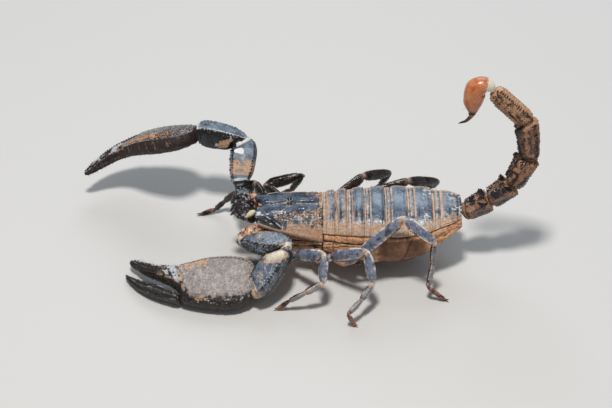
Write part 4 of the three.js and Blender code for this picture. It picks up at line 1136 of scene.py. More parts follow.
def build_leg(name, points):
    joints = [np.array(point, float) for point in points]
    heading = joints[2] - joints[0]
    side = np.cross([0, 0, 1], unit([heading[0], heading[1], 0]))
    # The near legs take the lit copies of the leg and foot looks, the far legs the copies in painted shade.
    near, distance = (1.0, "near") if "left" in name else (0.0, "far")
    seed = 300 + 10 * int(name[-1]) + (5 if near else 0)
    outline = loop(LEG_OUTLINE, 64)

    femur = [limb(joints[:3], FEMUR_STATIONS, side, outline, coxa_root(points[0]), joints[3], rows=96,
                  look=leg_look(seed, near, grooves=(0.98,)))]
    knee_direction = unit(joints[3] - joints[2]) + unit(joints[2] - joints[1])
    femur.append(joint_skin(joints[2], knee_direction, 0.66, 0.9, side, (0.5, 0.1, 0.6)))
    femur.append(limb_hairs(joints[1], joints[2], 1.0, 1.5, side, 14, 0.9, seed))
    publish(f"{name}_thigh", femur, "limb", f"{name}_femur", look=f"leg_{distance}")

    patella = [limb(joints[2:4], PATELLA_STATIONS, side, outline, joints[1], joints[4], rows=60,
                    look=leg_look(seed + 1, near))]
    patella.append(joint_skin(joints[3], unit(joints[4] - joints[2]), 0.5, 0.62, side, (0.6, 0.1, 0.4)))
    patella.append(limb_hairs(joints[2], joints[3], 1.0, 1.4, side, 10, 0.9, seed + 1))
    publish(f"{name}_knee", patella, "limb", f"{name}_patella", look=f"leg_{distance}")

    def foot_look(t, u, points, place):
        relief, dust_and_sheen, dark, pale = leg_look(seed + 2, near, grooves=(0.99, 1.99))(t, u, points, place)
        end = step(1.7, 2.05, place)
        red = 0.75 * end + 0.6 * bell(place - 1, 0.1) + 0.5 * bell(place, 0.1)
        dark = dark * (1 - 0.3 * end) + end * (0.2 + 0.9 * rough(points, 0.6, seed + 6))
        # The near feet also turn pale where they are dusty, as painted light.
        return relief, dust_and_sheen * 0.45 * (1 - end) + red, dark, (pale + 0.4 * dust_and_sheen * near) * (1 - end)

    foot = [limb(joints[3:7], FOOT_STATIONS, side, loop(LEG_OUTLINE, 48), joints[2], rows=110,
                 look=foot_look)]
    tip, toe = joints[6], unit(joints[6] - joints[5])
    flat_toe = unit([toe[0], toe[1], min(toe[2], 0) * 0.3])
    across = np.cross([0, 0, 1], unit([toe[0] + 1e-3, toe[1], 0]))
    for sign in (-1, 1):
        aside = across * sign
        claw = flat_toe + 0.35 * aside + [0, 0, 0.25]
        foot.append(capsule(tip + 0.2 * aside + [0, 0, 0.22], claw, 0.95, 0.15, (0, 1, 0), 0.15,
                            (0, 0, -0.42)))
        thorn = flat_toe * 0.8 + 0.3 * aside - [0, 0, 0.6]
        for share in (0.3, 0.55, 0.8):
            place = joints[5] + (joints[6] - joints[5]) * share + 0.3 * aside - [0, 0, 0.25]
            foot.append(capsule(place, thorn, 0.5, 0.07, (0, 1, 0), 0.2))
        spur = flat_toe + 0.5 * aside - [0, 0, 0.25]
        foot.append(capsule(joints[5] + 0.3 * aside - [0, 0, 0.2], spur, 0.85, 0.1, (0.3, 0.7, 0), 0.15))
    bristles = [[0.7, 0.8, 12, 0.8], [0.55, 0.6, 12, 0.7], [0.5, 0.5, 14, 0.6]]
    for i, (half_width, half_height, count, length) in enumerate(bristles):
        foot.append(limb_hairs(joints[i + 3], joints[i + 4], half_width, half_height, side, count, length,
                               seed + i + 2))
    publish(f"{name}_shin_and_toe", foot, "limb", f"{name}_foot", look=f"foot_{distance}")


# ------------------------------------------------------------------ front body and chelicerae


def build_coxae():
    stations = np.linspace(-15.4, -0.1, 90)
    above, below = 70, 90  # points of a ring on its upper and lower side
    share = np.linspace(0.985, -0.985, above)
    x, across = np.meshgrid(stations, share, indexing="ij")
    half = along(BODY_HALF_WIDTH, x) - 0.75
    over_y = across * half
    over = stacked(x, over_y, carapace_vault(x, over_y * 1.06) - 1.25)
    under_x, angle = np.meshgrid(stations, np.linspace(192, 348, below) - 360, indexing="ij")
    under = body_point(under_x, angle, 0.75)
    down = np.linspace(0, 1, 30)[None, 1:-1, None]
    walls = [blend(over[:, -1:], under[:, :1], down), blend(under[:, -1:], over[:, :1], down)]
    points = np.concatenate([over, walls[0], under, walls[1]], axis=1)
    points[..., 1] += np.sign(points[..., 1]) * 0.5 * step(-3.5, 0, points[..., 0])
    sloped = points * [0.3, 1.0, 1.3] + points[..., :1] * [0, 0, 0.12]
    fold, second_fold = rough(sloped, 1.4, 401), rough(sloped * 1.15, 1.1, 405)
    wrinkle = rough(points * [0.6, 1, 1.5], 0.9, 403)
    strand = np.sin(3.6 * points[..., 2] - 0.8 * points[..., 0] + 2.2 * second_fold)
    line = bell(fold, 0.07) + 0.6 * bell(second_fold, 0.06) + step(0.55, 0.95, -strand)
    relief = 0.45 * np.abs(fold) + 0.16 * wrinkle - 0.1 * line + 0.3 * strand
    points = raised(points, relief)
    # Painted shade darkens the fold valleys, the troughs between strands and the low wrinkles; painted light
    # makes the strands' crests paler and dustier.
    dark = 0.9 * line * step(-0.6, 0.2, wrinkle) + 0.45 * step(0.2, 0.7, -wrinkle)
    pale = 0.5 * step(0.2, 0.6, np.abs(fold)) * step(0, 0.4, wrinkle) + 0.35 * step(0.3, 0.9, strand)
    masks = stacked(0.8 + 0.5 * wrinkle + 0.4 * strand, dark, pale)
    parts = [tube(points, masks)]

    def coxa_look(t, u, points, place):
        noise = rough(points, 1.2, 407)
        grain = granules(points, 0.42, 409)
        dust_and_sheen = 0.55 + 0.55 * noise + 0.4 * bell(t - 1, 0.12)
        return 0.06 * noise + 0.05 * grain, dust_and_sheen, 0.45 * step(0, 0.6, -noise), 0.35 * step(0.5, 0.8, grain)

    stations = [[0, 1.3, 1.5], [0.6, 1.42, 1.42], [0.9, 1.25, 1.3], [1, 1.0, 1.1]]
    for leg in LEG_JOINTS.values():
        hip = np.array(leg[0])
        parts.append(limb([coxa_root(leg[0]), hip], [stations], [1, 0, 0], oval(56), after=leg[1], rows=50,
                          look=coxa_look))
        parts.append(joint_skin(hip, unit(np.array(leg[1]) - hip), 0.75, 0.85, [1, 0, 0], (0.7, 0.1, 0.3)))

    def lobe_look(t, u, points, place):
        noise = rough(points, 0.9, 411)
        fold = np.sin(t * 22 + u * 14 + 4 * noise)
        spots = rough(points, 0.5, 413)
        # Painted shade darkens the fold troughs; the pinkish-white spots are partly pale flecks and partly
        # painted highlights.
        dark = (0.8 * step(0.55, 1.1, -fold - 0.9 * noise)
                + 0.6 * step(0.3, 0.6, -spots) * step(-0.2, 0.3, -noise))
        dust_and_sheen, pale = 0.45 + 0.8 * noise + 0.5 * spots, 0.9 * step(0.1, 0.45, spots + 0.3 * noise)
        return 0.12 * fold + 0.2 * noise, dust_and_sheen, dark, pale

    spans = [[[0, 0.8, 1.0], [0.5, 1.3, 1.4]], [[0, 1.6, 1.5], [0.6, 1.4, 1.3], [1, 0.7, 0.7]]]
    for sign in (-1, 1):
        path = [[-12.2, sign * 6.0, 10.2], [-16.4, sign * 6.0, 12.1], [-19.4, sign * 6.4, 12.3]]
        parts.append(limb(path, spans, [0, 1, 0.3], oval(60), rows=70, look=lobe_look))
    parts.append(limb([[-15.6, 0, 8.2], [-10, 0, 7.0]], [[[0, 2.2, 1.2], [0.3, 3.6, 2.0], [1, 4.4, 2.4]]],
                      CROSSWISE, oval(48), rows=40, look=coxa_look))
    size = np.linspace(0.05, 1, 12)[::-1, None]
    sternum = size[..., None] * oval(40, 2.6) * [1.5, 1.9]
    height = body_point(0.0, -90.0)[2] + 0.35 - 0.45 * np.sqrt(1 - size ** 4) + 0 * sternum[..., 0]
    parts.append(tube(stacked(sternum[..., 0] - 0.4, sternum[..., 1], height), (0.35, 0.2, 0)))
    publish("front_body", parts, "shell", "coxae", look="front")


def build_chelicerae():
    for sign, name in SIDES:
        y = sign * 1.85

        def look(t, u, points, place):
            noise = rough(points, 1.0, 421)
            lumps = rough(points, 0.7, 423)
            spots = rough(points, 0.55, 427)
            base = fall(0.1, 0.3, t + 0.08 * noise)
            dust_and_sheen = 0.25 * base * (0.7 + noise)
            groove = bell((u * 6 + 0.6 * noise) % 1 - 0.5, 0.09) * step(0.3, 0.45, t)
            relief = (0.14 * noise + 0.26 * lumps - 0.2 * bell(t - 0.33, 0.04) - 0.16 * groove
                      + 0.16 * bell(t - 0.88, 0.05))
            dark = 0.45 + 0.7 * noise - 0.5 * base + 0.5 * groove
            glint = step(0.1, 0.3, spots) * step(-0.1, 0.15, lumps) * (1 - base)
            return relief, dust_and_sheen, dark - 0.7 * glint, 0.9 * glint

        def finger_look(t, u, points, place):
            return 0 * t, 0.35 * (1 - t), 0.7 + 0 * t, 0 * t

        path = [[-16.3, y, 12.4], [-20.5, y * 1.05, 16.6]]
        stations = [[0, 1.1, 1.1], [0.22, 1.25, 1.4], [0.34, 1.55, 1.75],
                    [0.7, 1.66, 2.0], [0.93, 1.4, 1.6], [1, 1.0, 1.1]]
        parts = [limb(path, [stations], CROSSWISE, oval(72, 2.3), rows=80, look=look, rounding=0.5)]
        fore, aft = np.array([-18.6, sign * 3.35, 14.7]), np.array([-16.2, sign * 2.7, 15.9])
        parts.append(blob((fore + aft) / 2, [1.55, 0.78, 0.66], aft - fore, (1.0, 0, 0), 0.16, 425))
        for height, lean, size in ((0.8, -0.35, 1.0), (-0.9, 0.45, 0.95)):
            path = [[-19.8, y + sign * lean, 16.1 + height], [-21.2, y + sign * lean, 16.0 + height * 0.9],
                    [-22.1, y + sign * lean * 0.6, 14.6 + height * 0.5]]
            spans = [[[0, 0.7 * size, 0.7 * size], [0.6, 0.6, 0.6]],
                     [[0, 0.5, 0.5], [0.6, 0.3, 0.32], [1, 0.1, 0.1]]]
            parts.append(limb(path, spans, CROSSWISE, oval(30), rows=44, look=finger_look, rounding=0.1))
            teeth = np.linspace(0.25, 0.85, 4)
            root = np.array(path[1]) + (np.array(path[2]) - path[1]) * teeth[:, None]
            parts.append(beads(root, [0.7, 0, -0.7 if height > 0 else 0.7], 0.2, 0.42, (0.1, 0.9, 0)))
        random = np.random.default_rng(430 + sign)
        roots = np.array([-19.6, y, 15.4]) + random.uniform([-1.6, -1.1, -1.6], [1.2, 1.1, -0.6], (60, 3))
        parts.append(hairs(roots, [-0.5, 0, -1.0], 1.5, 431, 0.03))
        publish(f"jaw_{name}", parts, "fang", f"chelicera_{name}", look=f"jaw_{name}")


# ------------------------------------------------------------------ pedipalps and claws


def arm_look(seed, grain_size, grain, dustiness, dark_under, spines, gloss=0.0, near_dark=0.0, bands=(),
             matte=0.0):
    """Cuticle of an arm's length: keels with granules at the corners of its prism. bands holds rows of
    [middle, half length, dust, dark, pale] across it."""

    def look(t, u, points, place):
        noise = rough(points, 1.5, seed)
        detail = rough(points, 0.7, seed + 1)
        bumps = granules(points, grain_size, seed + 2)
        beaded = wave(t * 15, 5 * ripple(points, 1.7, seed + 3))
        corner = u * 8
        keels = 0
        for keel, strength in ((1, 1.0), (3, 1.0), (5, 0.8), (7, 0.8)):
            around = np.abs((corner - keel + 4) % 8 - 4)
            keels += strength * bell(around, 0.14) * window(0.05, 0.15, 0.88, 0.96, t)
        top = window(0.9, 1.25, 2.75, 3.1, corner)
        under = step(3.15, 3.7, corner + 0.25 * noise) * fall(7.8, 8.4, corner)
        near_face = near_dark * np.maximum(fall(0.7, 1.05, corner), step(6.9, 7.4, corner))
        under = np.maximum(under * (1 - near_dark), np.maximum(near_face, under * near_dark))
        relief = (spines * keels * (0.2 + 0.8 * beaded) + grain * bumps * (1 - 0.5 * keels) + 0.08 * noise
                  + 0.05 * detail)
        relief = (relief - 0.12 * bell(t - 0.07, 0.03) - 0.1 * bell(t - 0.93, 0.02)
                  + 0.1 * bell(t - 0.965, 0.015))
        dust_and_sheen = dustiness * (0.5 + 1.5 * noise + 0.9 * detail) + 0.85 * bell(t - 1, 0.04) + 0.8 * bell(t, 0.05)
        dust_and_sheen = dust_and_sheen * (1 - 0.6 * under)
        dark = dark_under * under * (0.9 + 0.3 * noise) + 0.85 * keels * (0.25 + 0.75 * beaded)
        dark += (1 - gloss) * 0.85 * fall(0.0, 0.3, bumps) * step(-0.35, 0.3, detail) * (1 - 0.5 * top)
        dark += 0.55 * step(0.2, 0.7, -noise + 0.3 * detail) * (1 - 0.6 * gloss)
        pale = 0.6 * top * step(0.4, 0.8, bumps) * (1 - gloss) * step(-0.3, 0.3, noise)
        pale += (0.4 - 0.3 * gloss) * top * step(0.3, 0.8, noise) + 0.8 * bell(t - 0.965, 0.012) * top
        # On the near face's upper keel, a pale line of beads brightened into painted sparkle.
        pale += 1.1 * bell(corner - 1.12, 0.13) * near_dark * step(-0.4, 0.1, detail)
        for middle, half, more_dust, more_dark, more_pale in bands:
            close = fall(0.75 * half, 1.2 * half, np.abs(t - middle + 0.02 * noise))
            dust_and_sheen = blend(dust_and_sheen, more_dust * (0.9 + 0.5 * detail), close)
            dark = blend(dark, more_dark * (0.9 + 0.5 * noise), close)
            pale = blend(pale, more_pale, close)
        return relief, dust_and_sheen, dark, pale, matte * (0.8 + 0.4 * noise)

    return look


def claw_bow(x):
    """How far a claw arches towards its back at x."""
    return CLAW_BOW * np.sin(np.pi * clamp(x / CLAW_LENGTH) ** 1.3)


def between_ends(x, stations, width):
    """1 along a claw piece, down to 0 over a width at its start and over a shorter one at its tip."""
    first, last = stations[0][0], stations[-1][0]
    return step(first, first + width, x) * fall(last - 0.4, last, x)


def claw_rings(stations, hand, rows, columns):
    """Rings of a claw piece in the claw's own frame, with the angle from its outer edge over its back."""
    table = np.asarray(stations, float)
    share = eased(rows)
    x = table[0, 0] + (table[-1, 0] - table[0, 0]) * share
    inner, outer, half = along(table, x).T[..., None]
    x, angle = np.meshgrid(x, 360 * np.arange(columns) / columns, indexing="ij")
    across, up = oval(columns, 2.2).T
    local_y = (inner + outer) / 2 + across * np.maximum((outer - inner) / 2, 0.05)
    points = stacked(x, hand * local_y, claw_bow(x) + up * np.maximum(half, 0.05))
    return points, angle, x


class Claw:
    """A claw's own frame, along it, across it and through its thickness, with the hinge of its finger."""

    def __init__(self, arm, seed):
        wrist, tip = (np.array(joint, float) for joint in arm["joints"][3:])
        length = unit(tip - wrist)
        across = np.array(arm["claw_out"], float) * arm["hand"]
        across = unit(across - length * across.dot(length))
        self.axes = arm["size"] * np.stack([length, across, np.cross(length, across)])
        self.origin = wrist + arm["lift"]
        self.hand = arm["hand"]
        self.hinge = np.array([FINGER_HINGE[0], FINGER_HINGE[1] * self.hand, 0])
        self.random = np.random.default_rng(seed)

    def placed(self, local):
        """From the claw's own frame into the body's."""
        return self.origin + local @ self.axes

    def turned(self, local, swing):
        """Turned round the hinge by a swing in degrees."""
        turn = math.radians(swing * self.hand)
        cos, sin = math.cos(turn), math.sin(turn)
        return (local - self.hinge) @ np.array([[cos, sin, 0], [-sin, cos, 0], [0, 0, 1]]) + self.hinge

    def teeth(self, stations, out, swing, first, last, count):
        """Teeth along the outer edge of a piece, where out is 1, or its inner edge, where out is -1."""
        places = np.linspace(first, last, count)
        inner, outer, _ = along(stations, places).T
        local = stacked(places, self.hand * (outer if out > 0 else inner), claw_bow(places))
        size = 0.17 + 0.05 * np.sin(places * 5.1)
        size[:: count // 4] *= 1.7
        direction = self.turned(self.hinge + [0.1, self.hand * out, 0.15], swing) - self.hinge
        return beads(self.placed(self.turned(local, swing)), direction @ self.axes, size, size * 0.9)

    def bristles(self, points, rows, count, length, seed):
        """Hairs scattered over some of a piece's rings."""
        spots = self.random.integers(*rows, count), self.random.integers(0, points.shape[1], count)
        return hairs(self.placed(points)[spots], (outward(points) @ unit(self.axes))[spots], length, seed)


def build_hand(name, claw, seed):
    left = name == "left"
    points, angle, x = claw_rings(HAND_STATIONS, claw.hand, 300, 288)
    grain = granules(points, 0.46, seed)
    fine = granules(points, 0.3, seed + 6)
    noise = rough(points, 2.6, seed + 11)
    detail = rough(points, 0.8, seed + 13)
    local_y = points[..., 1] * claw.hand
    edge_place = 18.5 - 0.6 * local_y if left else 20.5 + 0 * local_y
    palm = fall(-1.4, 1.4, x - edge_place + 0.9 * noise + 0.9 * detail)
    keel_angle = 52 - 10 * step(6, 17, x) if left else 36 + 0 * x
    outer_keel, inner_keel = bell(angle - keel_angle, 3.2), bell(angle - 146, 3.2)
    back = window(keel_angle - 3, keel_angle + 3, 143, 149, angle)
    row = wave(x / 0.8, 4 * ripple(points, 1.5, seed + 17))
    pits = granules(points, 0.7, seed + 19)
    relief = back * palm * (0.08 * grain + 0.05 * fine - 0.05 + 0.03 * detail) + 0.05 * noise
    relief += ((1 - back) * palm * (0.14 * pits + 0.08 * grain)
               + (1 - palm) * (0.08 * fine + 0.2 * grain + 0.1 * detail))
    relief += ((0.12 if left else 0.26) * outer_keel + 0.18 * inner_keel) * palm * (0.35 + 0.65 * row)
    for place in (14, 62, 92, 124, 158, 200, 240, 300, 335):
        ridge = bell(angle - place - 6 * np.sin(x / 7), 4 + 3.5 * (1 - palm)) * (0.25 + 0.75 * row)
        relief += (0.05 * palm * (1 - back) + 0.02 * palm + 0.3 * (1 - palm)) * ridge
    relief -= 0.16 * bell(x - 1.9, 0.5)
    points = raised(points, relief * between_ends(x, HAND_STATIONS, 0.6))

    upper = window(58, 84, 160, 185, angle)
    if left:
        front = step(0.0, 0.8, 1 - np.abs(x - 17) / 7.0 + 0.5 * noise) * window(96, 128, 176, 190, angle)
        unevenness = 20 * detail + 8 * noise - 8 * step(0.3, 0.7, grain)
        # The claw darkens below its outer keel and over its underside: the dark lower face, with painted
        # shade on the underside.
        shade = fall(keel_angle - 22, keel_angle + 22, angle + unevenness)
        shade = np.maximum(shade, step(176, 196, angle))
        dust_and_sheen = (back * palm
                * (0.85 * front * (0.8 + 0.8 * detail) + 0.22 * step(0.1, 0.6, noise + 0.5 * detail)))
        dust_and_sheen += palm * (1 - back) * 0.8 * step(22, 34, angle) * step(0.1, 0.5, detail + noise)
        dark = palm * (0.95 * shade - 0.4 * step(0.35, 0.8, grain) * back)
        brown = (bell(x - 10.5, 3.4) * bell(angle - keel_angle + 8, 9)
                 * step(-0.2, 0.3, brushed(x, angle, 0.8, 0.12, seed + 25)))
        dust_and_sheen, dark = dust_and_sheen + 0.9 * brown, dark * (1 - 0.8 * brown)
        dark = np.maximum(dark, 0.3 * palm * back * fall(0.0, 0.2, grain + fine) * step(-0.3, 0.5, detail))
        pale = 0.3 * back * palm * step(0.5, 0.9, grain) + 0.2 * back * palm * step(0.0, 0.7, noise)
        speckle = rough(points, 0.42, seed + 29)
        flecks = palm * shade * step(0.15, 0.45, speckle) * window(12, 30, 150, 170, angle)
        pale, dark = pale + 0.8 * flecks, dark - 0.6 * flecks
    else:
        band = step(104, 120, angle + 6 * detail) * fall(143, 147, angle) * step(3, 6.5, x + 2 * noise)
        band *= fall(16, 22, x + 3 * noise) * fall(136, 139, angle + 5 * row)
        # Painted gloss streaks: fine lighter reddish lines running round the lower face, laid in the dust
        # colour with less dark.
        painted_gloss_streaks = brushed(x, angle, 2.6, 0.025, seed + 23)
        painted_gloss_streaks = step(-0.15, 0.4, painted_gloss_streaks) * step(-0.5, 0.2, detail) * step(143, 152, angle)
        dust_and_sheen = palm * band * (1.15 + 0.5 * noise) + 0.3 * back * palm * step(0.1, 0.6, noise)
        dust_and_sheen += 0.45 * palm * (1 - back) * painted_gloss_streaks
        dark = palm * (1 - back) * (0.95 - 0.48 * painted_gloss_streaks)
        near_wrist = fall(6, 11, x + 2 * noise)
        gaps = fall(0.0, 0.2, grain + 0.4 * fine) * step(-0.4, 0.3, detail + 0.4 * near_wrist)
        dark += palm * back * (0.7 + 0.3 * near_wrist) * gaps
        dark += 0.8 * palm * back * step(0.5, 0.8, pits) * step(100, 130, angle)
        pale = (0.55 * back * palm * step(0.45, 0.85, grain) * (1 - 0.7 * band)
                + 0.2 * back * palm * step(0.0, 0.7, noise))
        # Near the wrist the pale granule tops are brightened into painted sparkle.
        pale += 0.6 * near_wrist * back * palm * step(0.35, 0.7, grain) * step(-0.3, 0.2, detail)
    lengthways = brushed(x, angle, 0.55, 0.05, seed + 27)
    edge_shine = (step(110, 126, angle) if left else step(66, 84, angle)) * fall(160, 178, angle)
    shine = (step(-0.05, 0.35, lengthways + 0.25 * edge_shine) * step(-0.45, 0.1, detail)
             * np.maximum(upper, edge_shine))
    shine *= 0.25 + 0.75 * np.maximum(edge_shine, fall(3.5, 6.5, x - edge_place))
    if left:
        # Painted glints along the border of palm and finger.
        edge_glints = bell(x - edge_place - 1.6 - 0.9 * noise, 1.0) * window(48, 66, 150, 165, angle)
        shine = np.maximum(shine, edge_glints * step(-0.35, 0.1, detail + 0.5 * noise))
    else:
        # Painted glints along two ridges of the finger.
        ridge_glints = bell(angle - 158, 5) + bell(angle - 200, 5)
        shine = np.maximum(shine, 0.6 * ridge_glints * step(-0.2, 0.3, detail))
    rusty = step(-0.15, 0.25, -lengthways) * window(40, 60, 150, 180, angle) * fall(22, 28, x)
    rusty *= step(-0.5, 0.0, -detail)
    dust_and_sheen += 0.3 * bell(x - 1.6, 0.7) + 0.8 * (1 - palm) * rusty
    pale += (1 - palm) * 0.95 * shine
    dark += (1 - palm) * (0.97 - 0.95 * shine - 0.6 * rusty)
    keels = inner_keel if left else outer_keel + inner_keel
    dark = np.maximum(dark, 0.95 * keels * (0.35 + 0.65 * row) * palm)
    matte = palm * (0.45 if left else 0.3 + 0.3 * (1 - back)) * (1 - 0.5 * step(0.2, 0.6, detail))
    masks = stacked(dust_and_sheen, dark, pale, matte)
    parts = [tube(claw.placed(points), masks)]
    parts.append(claw.teeth(HAND_STATIONS, 1, 0, 19.0, 32.4, 30))
    parts.append(claw.bristles(points, (100, 290), 90, 1.0, seed))
    publish(f"claw_{name}", parts, "claw", f"pedipalp_{name}_hand", look=f"hand_{name}")


def build_finger(name, claw, seed, swing):
    points, angle, x = claw_rings(FINGER_STATIONS, claw.hand, 170, 120)
    points = claw.turned(points, swing)
    grain = granules(points, 0.5, seed + 31)
    fine = granules(points, 0.28, seed + 33)
    noise = rough(points, 1.2, seed + 35)
    row = wave(x / 0.66, 2 * ripple(points, 1.5, seed + 37))
    relief = 0.14 * grain + 0.06 * fine + 0.07 * noise
    for place in (40, 78, 120, 250, 300):
        relief += 0.3 * bell(angle - place, 7) * (0.3 + 0.7 * row)
    relief -= 0.14 * bell(angle - 59, 6) + 0.12 * bell(angle - 100, 6)
    points = raised(points, relief * between_ends(x, FINGER_STATIONS, 0.5))
    dust_and_sheen = 0.4 * step(0.3, 0.9, noise) * fall(19, 24, x) + 0.12 * step(0.5, 0.9, noise)
    # Painted glints along the finger's inner edge and back, broken into lengthwise streaks.
    crest = bell(angle - 142, 22) + 0.7 * bell(angle - 92, 14)
    shine = step(-0.2, 0.25, brushed(x, angle, 0.6, 0.05, seed + 39)) * step(-0.6, 0.1, noise)
    pale = 0.95 * crest * shine * fall(185, 205, angle)
    masks = stacked(dust_and_sheen, 0.98 - 0.9 * pale - 0.5 * clamp(dust_and_sheen), pale)
    parts = [tube(claw.placed(points), masks)]
    parts.append(claw.teeth(FINGER_STATIONS, -1, swing, 19.5, 31.5, 28))
    base = claw.turned(np.array([17.7, 6.5 * claw.hand, 1.6]), swing)
    parts.append(blob(claw.placed(base), [0.9, 1.3, 1.3], claw.axes[0], (0.35, 0.75, 0.1)))
    parts.append(claw.bristles(points, (20, 160), 40, 0.8, seed + 1))
    publish(f"moving_finger_{name}", parts, "claw", f"pedipalp_{name}_finger", look=f"hand_{name}")


def build_arm(name, arm):
    coxa, elbow, knee, wrist, tip = [np.array(joint, float) for joint in arm["joints"]]
    left = name == "left"
    seed = 700 if left else 800
    femur_side, patella_side = np.array(arm["femur_side"], float), np.array(arm["patella_side"], float)

    stations = [[0, 1.9, 1.9], [0.45, 2.35, 2.25], [0.85, 1.8, 1.8], [1, 1.3, 1.4]]
    dustiness, dark_under = (0.6, 0.4) if left else (0.15, 1.0)
    trochanter = [limb([coxa, elbow], [stations], femur_side, oval(96, 2.2), after=knee, rows=80,
                       look=arm_look(seed + 1, 0.55, 0.2, dustiness, dark_under, 0.3))]
    skin = (0.35, 0.05, 0.8) if left else (0.1, 0.95, 0)
    trochanter.append(joint_skin(elbow, unit(knee - elbow), 1.2, 1.2, femur_side, skin))
    publish(f"arm_{name}_base", trochanter, "shell", f"pedipalp_{name}_trochanter", look=f"arm_{name}")

    femur_stations = [[0, 1.2, 1.1], [0.16, 2.1, 1.7], [0.35, 2.8, 2.0],
                      [0.75, 3.2, 2.1], [0.9, 2.7, 1.8], [1, 1.5, 1.2]]
    if left:
        bands = [[0.02, 0.035, 0.2, 0.9, 0.0], [0.1, 0.05, 0.6, 0.0, 0.5], [0.17, 0.02, 0.2, 0.8, 0.2]]
        finish = arm_look(seed + 20, 0.6, 0.2, 0.4, 0.15, 0.22, 0.15, bands=bands)
    else:
        bands = [[0.07, 0.07, 0.1, 0.9, 0.1], [0.155, 0.025, 0.4, 0.0, 0.5]]
        plain = arm_look(seed + 20, 0.6, 0.03, 0.1, 0.9, 0.22, 0.8, bands=bands, matte=0.6)

        # The right femur's look adds a painted highlight, shine, near the knee and tan patches low down.
        def finish(t, u, points, place):
            relief, dust_and_sheen, dark, pale, matte = plain(t, u, points, place)
            patch = rough(points, 1.1, seed + 28)
            low = step(0.22, 0.26, t) * fall(0.4, 0.62, t + 0.25 * patch)
            shine = bell(t - 0.76 + 0.05 * (u * 8 - 1.5), 0.08) * bell(u * 8 - 1.55, 0.5)
            shine = step(0.3, 0.65, shine + 0.2 * patch)
            pale, dark = pale + 1.3 * shine * (1 + 0.3 * patch), dark * (1 - 0.5 * low) * (1 - shine)
            return relief, (dust_and_sheen + 1.1 * low * step(-0.5, -0.1, patch)) * (1 - shine), dark, pale, matte

    femur = [limb([elbow, knee], [femur_stations], femur_side, loop(PRISM, 200), coxa, wrist, 170, finish)]
    spiny = (1, 3) if left else (0, 1, 3)
    femur += keel_spines(elbow, knee, femur_stations, femur_side, spiny, 22, 0.3, seed + 21)
    publish(f"arm_{name}_upper", femur, "shell", f"pedipalp_{name}_femur", look=f"arm_{name}")

    patella_stations = [[0, 1.3, 1.3], [0.14, 2.2, 1.9], [0.35, 3.0, 2.6],
                        [0.75, 3.2, 2.9], [0.93, 2.7, 2.6], [1, 2.0, 2.1]]
    shell_look = arm_look(seed + 40, 0.5, 0.12, 0.34 if left else 0.15, 1.0, 0.2, 0.2, 0.0 if left else 1.0)
    if left:
        knee_skin, radii, along_skin = [-10.9, -14.6, 11.6], [3.0, 1.5, 1.5], [1, 0.1, 0.35]
    else:
        knee_skin, radii, along_skin = [-20.5, 19.7, 18.3], [1.6, 1.4, 1.5], wrist - knee

    def patella_look(t, u, points, place):
        relief, dust_and_sheen, dark, pale, matte = shell_look(t, u, points, place)
        rub = rough(points, 0.9, seed + 47)
        if left:
            close = fall(1.3, 2.7, np.linalg.norm((points - knee_skin) * [0.8, 1, 1], axis=-1) + 0.5 * rub)
            pale = blend(pale, 0.5 * close ** 2, close)
            return relief * (1 - close), blend(dust_and_sheen, 1.1, close), dark * (1 - close), pale, matte
        corner = (u * 8 + 2) % 8
        spot = step(0.3, 0.75, bell(t - 0.38, 0.2) * bell(corner - 1.75 + 2.6 * (t - 0.4), 0.62) + 0.5 * rub)
        glint = (0.8 * bell(t - 0.57, 0.04) * bell(corner - 1.5, 0.3)
                 + 0.9 * step(0.35, 0.6, rub) * bell(corner - 2.7, 0.3))
        return relief, dust_and_sheen + 1.1 * spot, dark * (1 - 0.9 * np.maximum(spot, glint)), pale + glint, matte

    patella = [limb([knee, wrist], [patella_stations], patella_side, loop(PRISM, 208), elbow, tip, 170,
                    patella_look)]
    patella += keel_spines(knee, wrist, patella_stations, patella_side, (1, 3), 20, 0.2, seed + 41)
    patella.append(blob(knee_skin, radii, along_skin, (0.2, 0.0, 0.85), 0.04, ends=(1.0, 0.1, 0.1)))
    patella.append(blob(knee, [1.5, 1.35, 1.35], wrist - knee, (0.3, 0.1, 0.7)))
    patella.append(blob(wrist, [1.9, 1.75, 1.75], tip - wrist,
                        (0.85, 0.15, 0.0) if left else (0.5, 0.75, 0.0)))
    publish(f"arm_{name}_lower", patella, "shell", f"pedipalp_{name}_patella", look=f"arm_{name}")


def keel_spines(start, end, stations, side, corners, count, size, seed):
    """Rows of pointed granules along the keels of an arm's length."""
    random = np.random.default_rng(seed)
    _, across, up = limb_axes(start, end, side)
    rows = []
    for corner in corners:
        share = np.linspace(0.14, 0.88, count) + random.uniform(-0.008, 0.008, count)
        half_width, half_height = along(stations, share).T
        y, z = PRISM[corner]
        out = unit(across * y + up * z * 0.45)
        centres = (start + (end - start) * share[:, None] + across * (y * half_width)[:, None]
                   + up * (z * half_height)[:, None] - out * 0.12)
        rows.append(beads(centres, out, size * random.uniform(0.55, 1.0, count),
                          size * random.uniform(1.0, 2.0, count)))
    return rows


# ------------------------------------------------------------------ materials

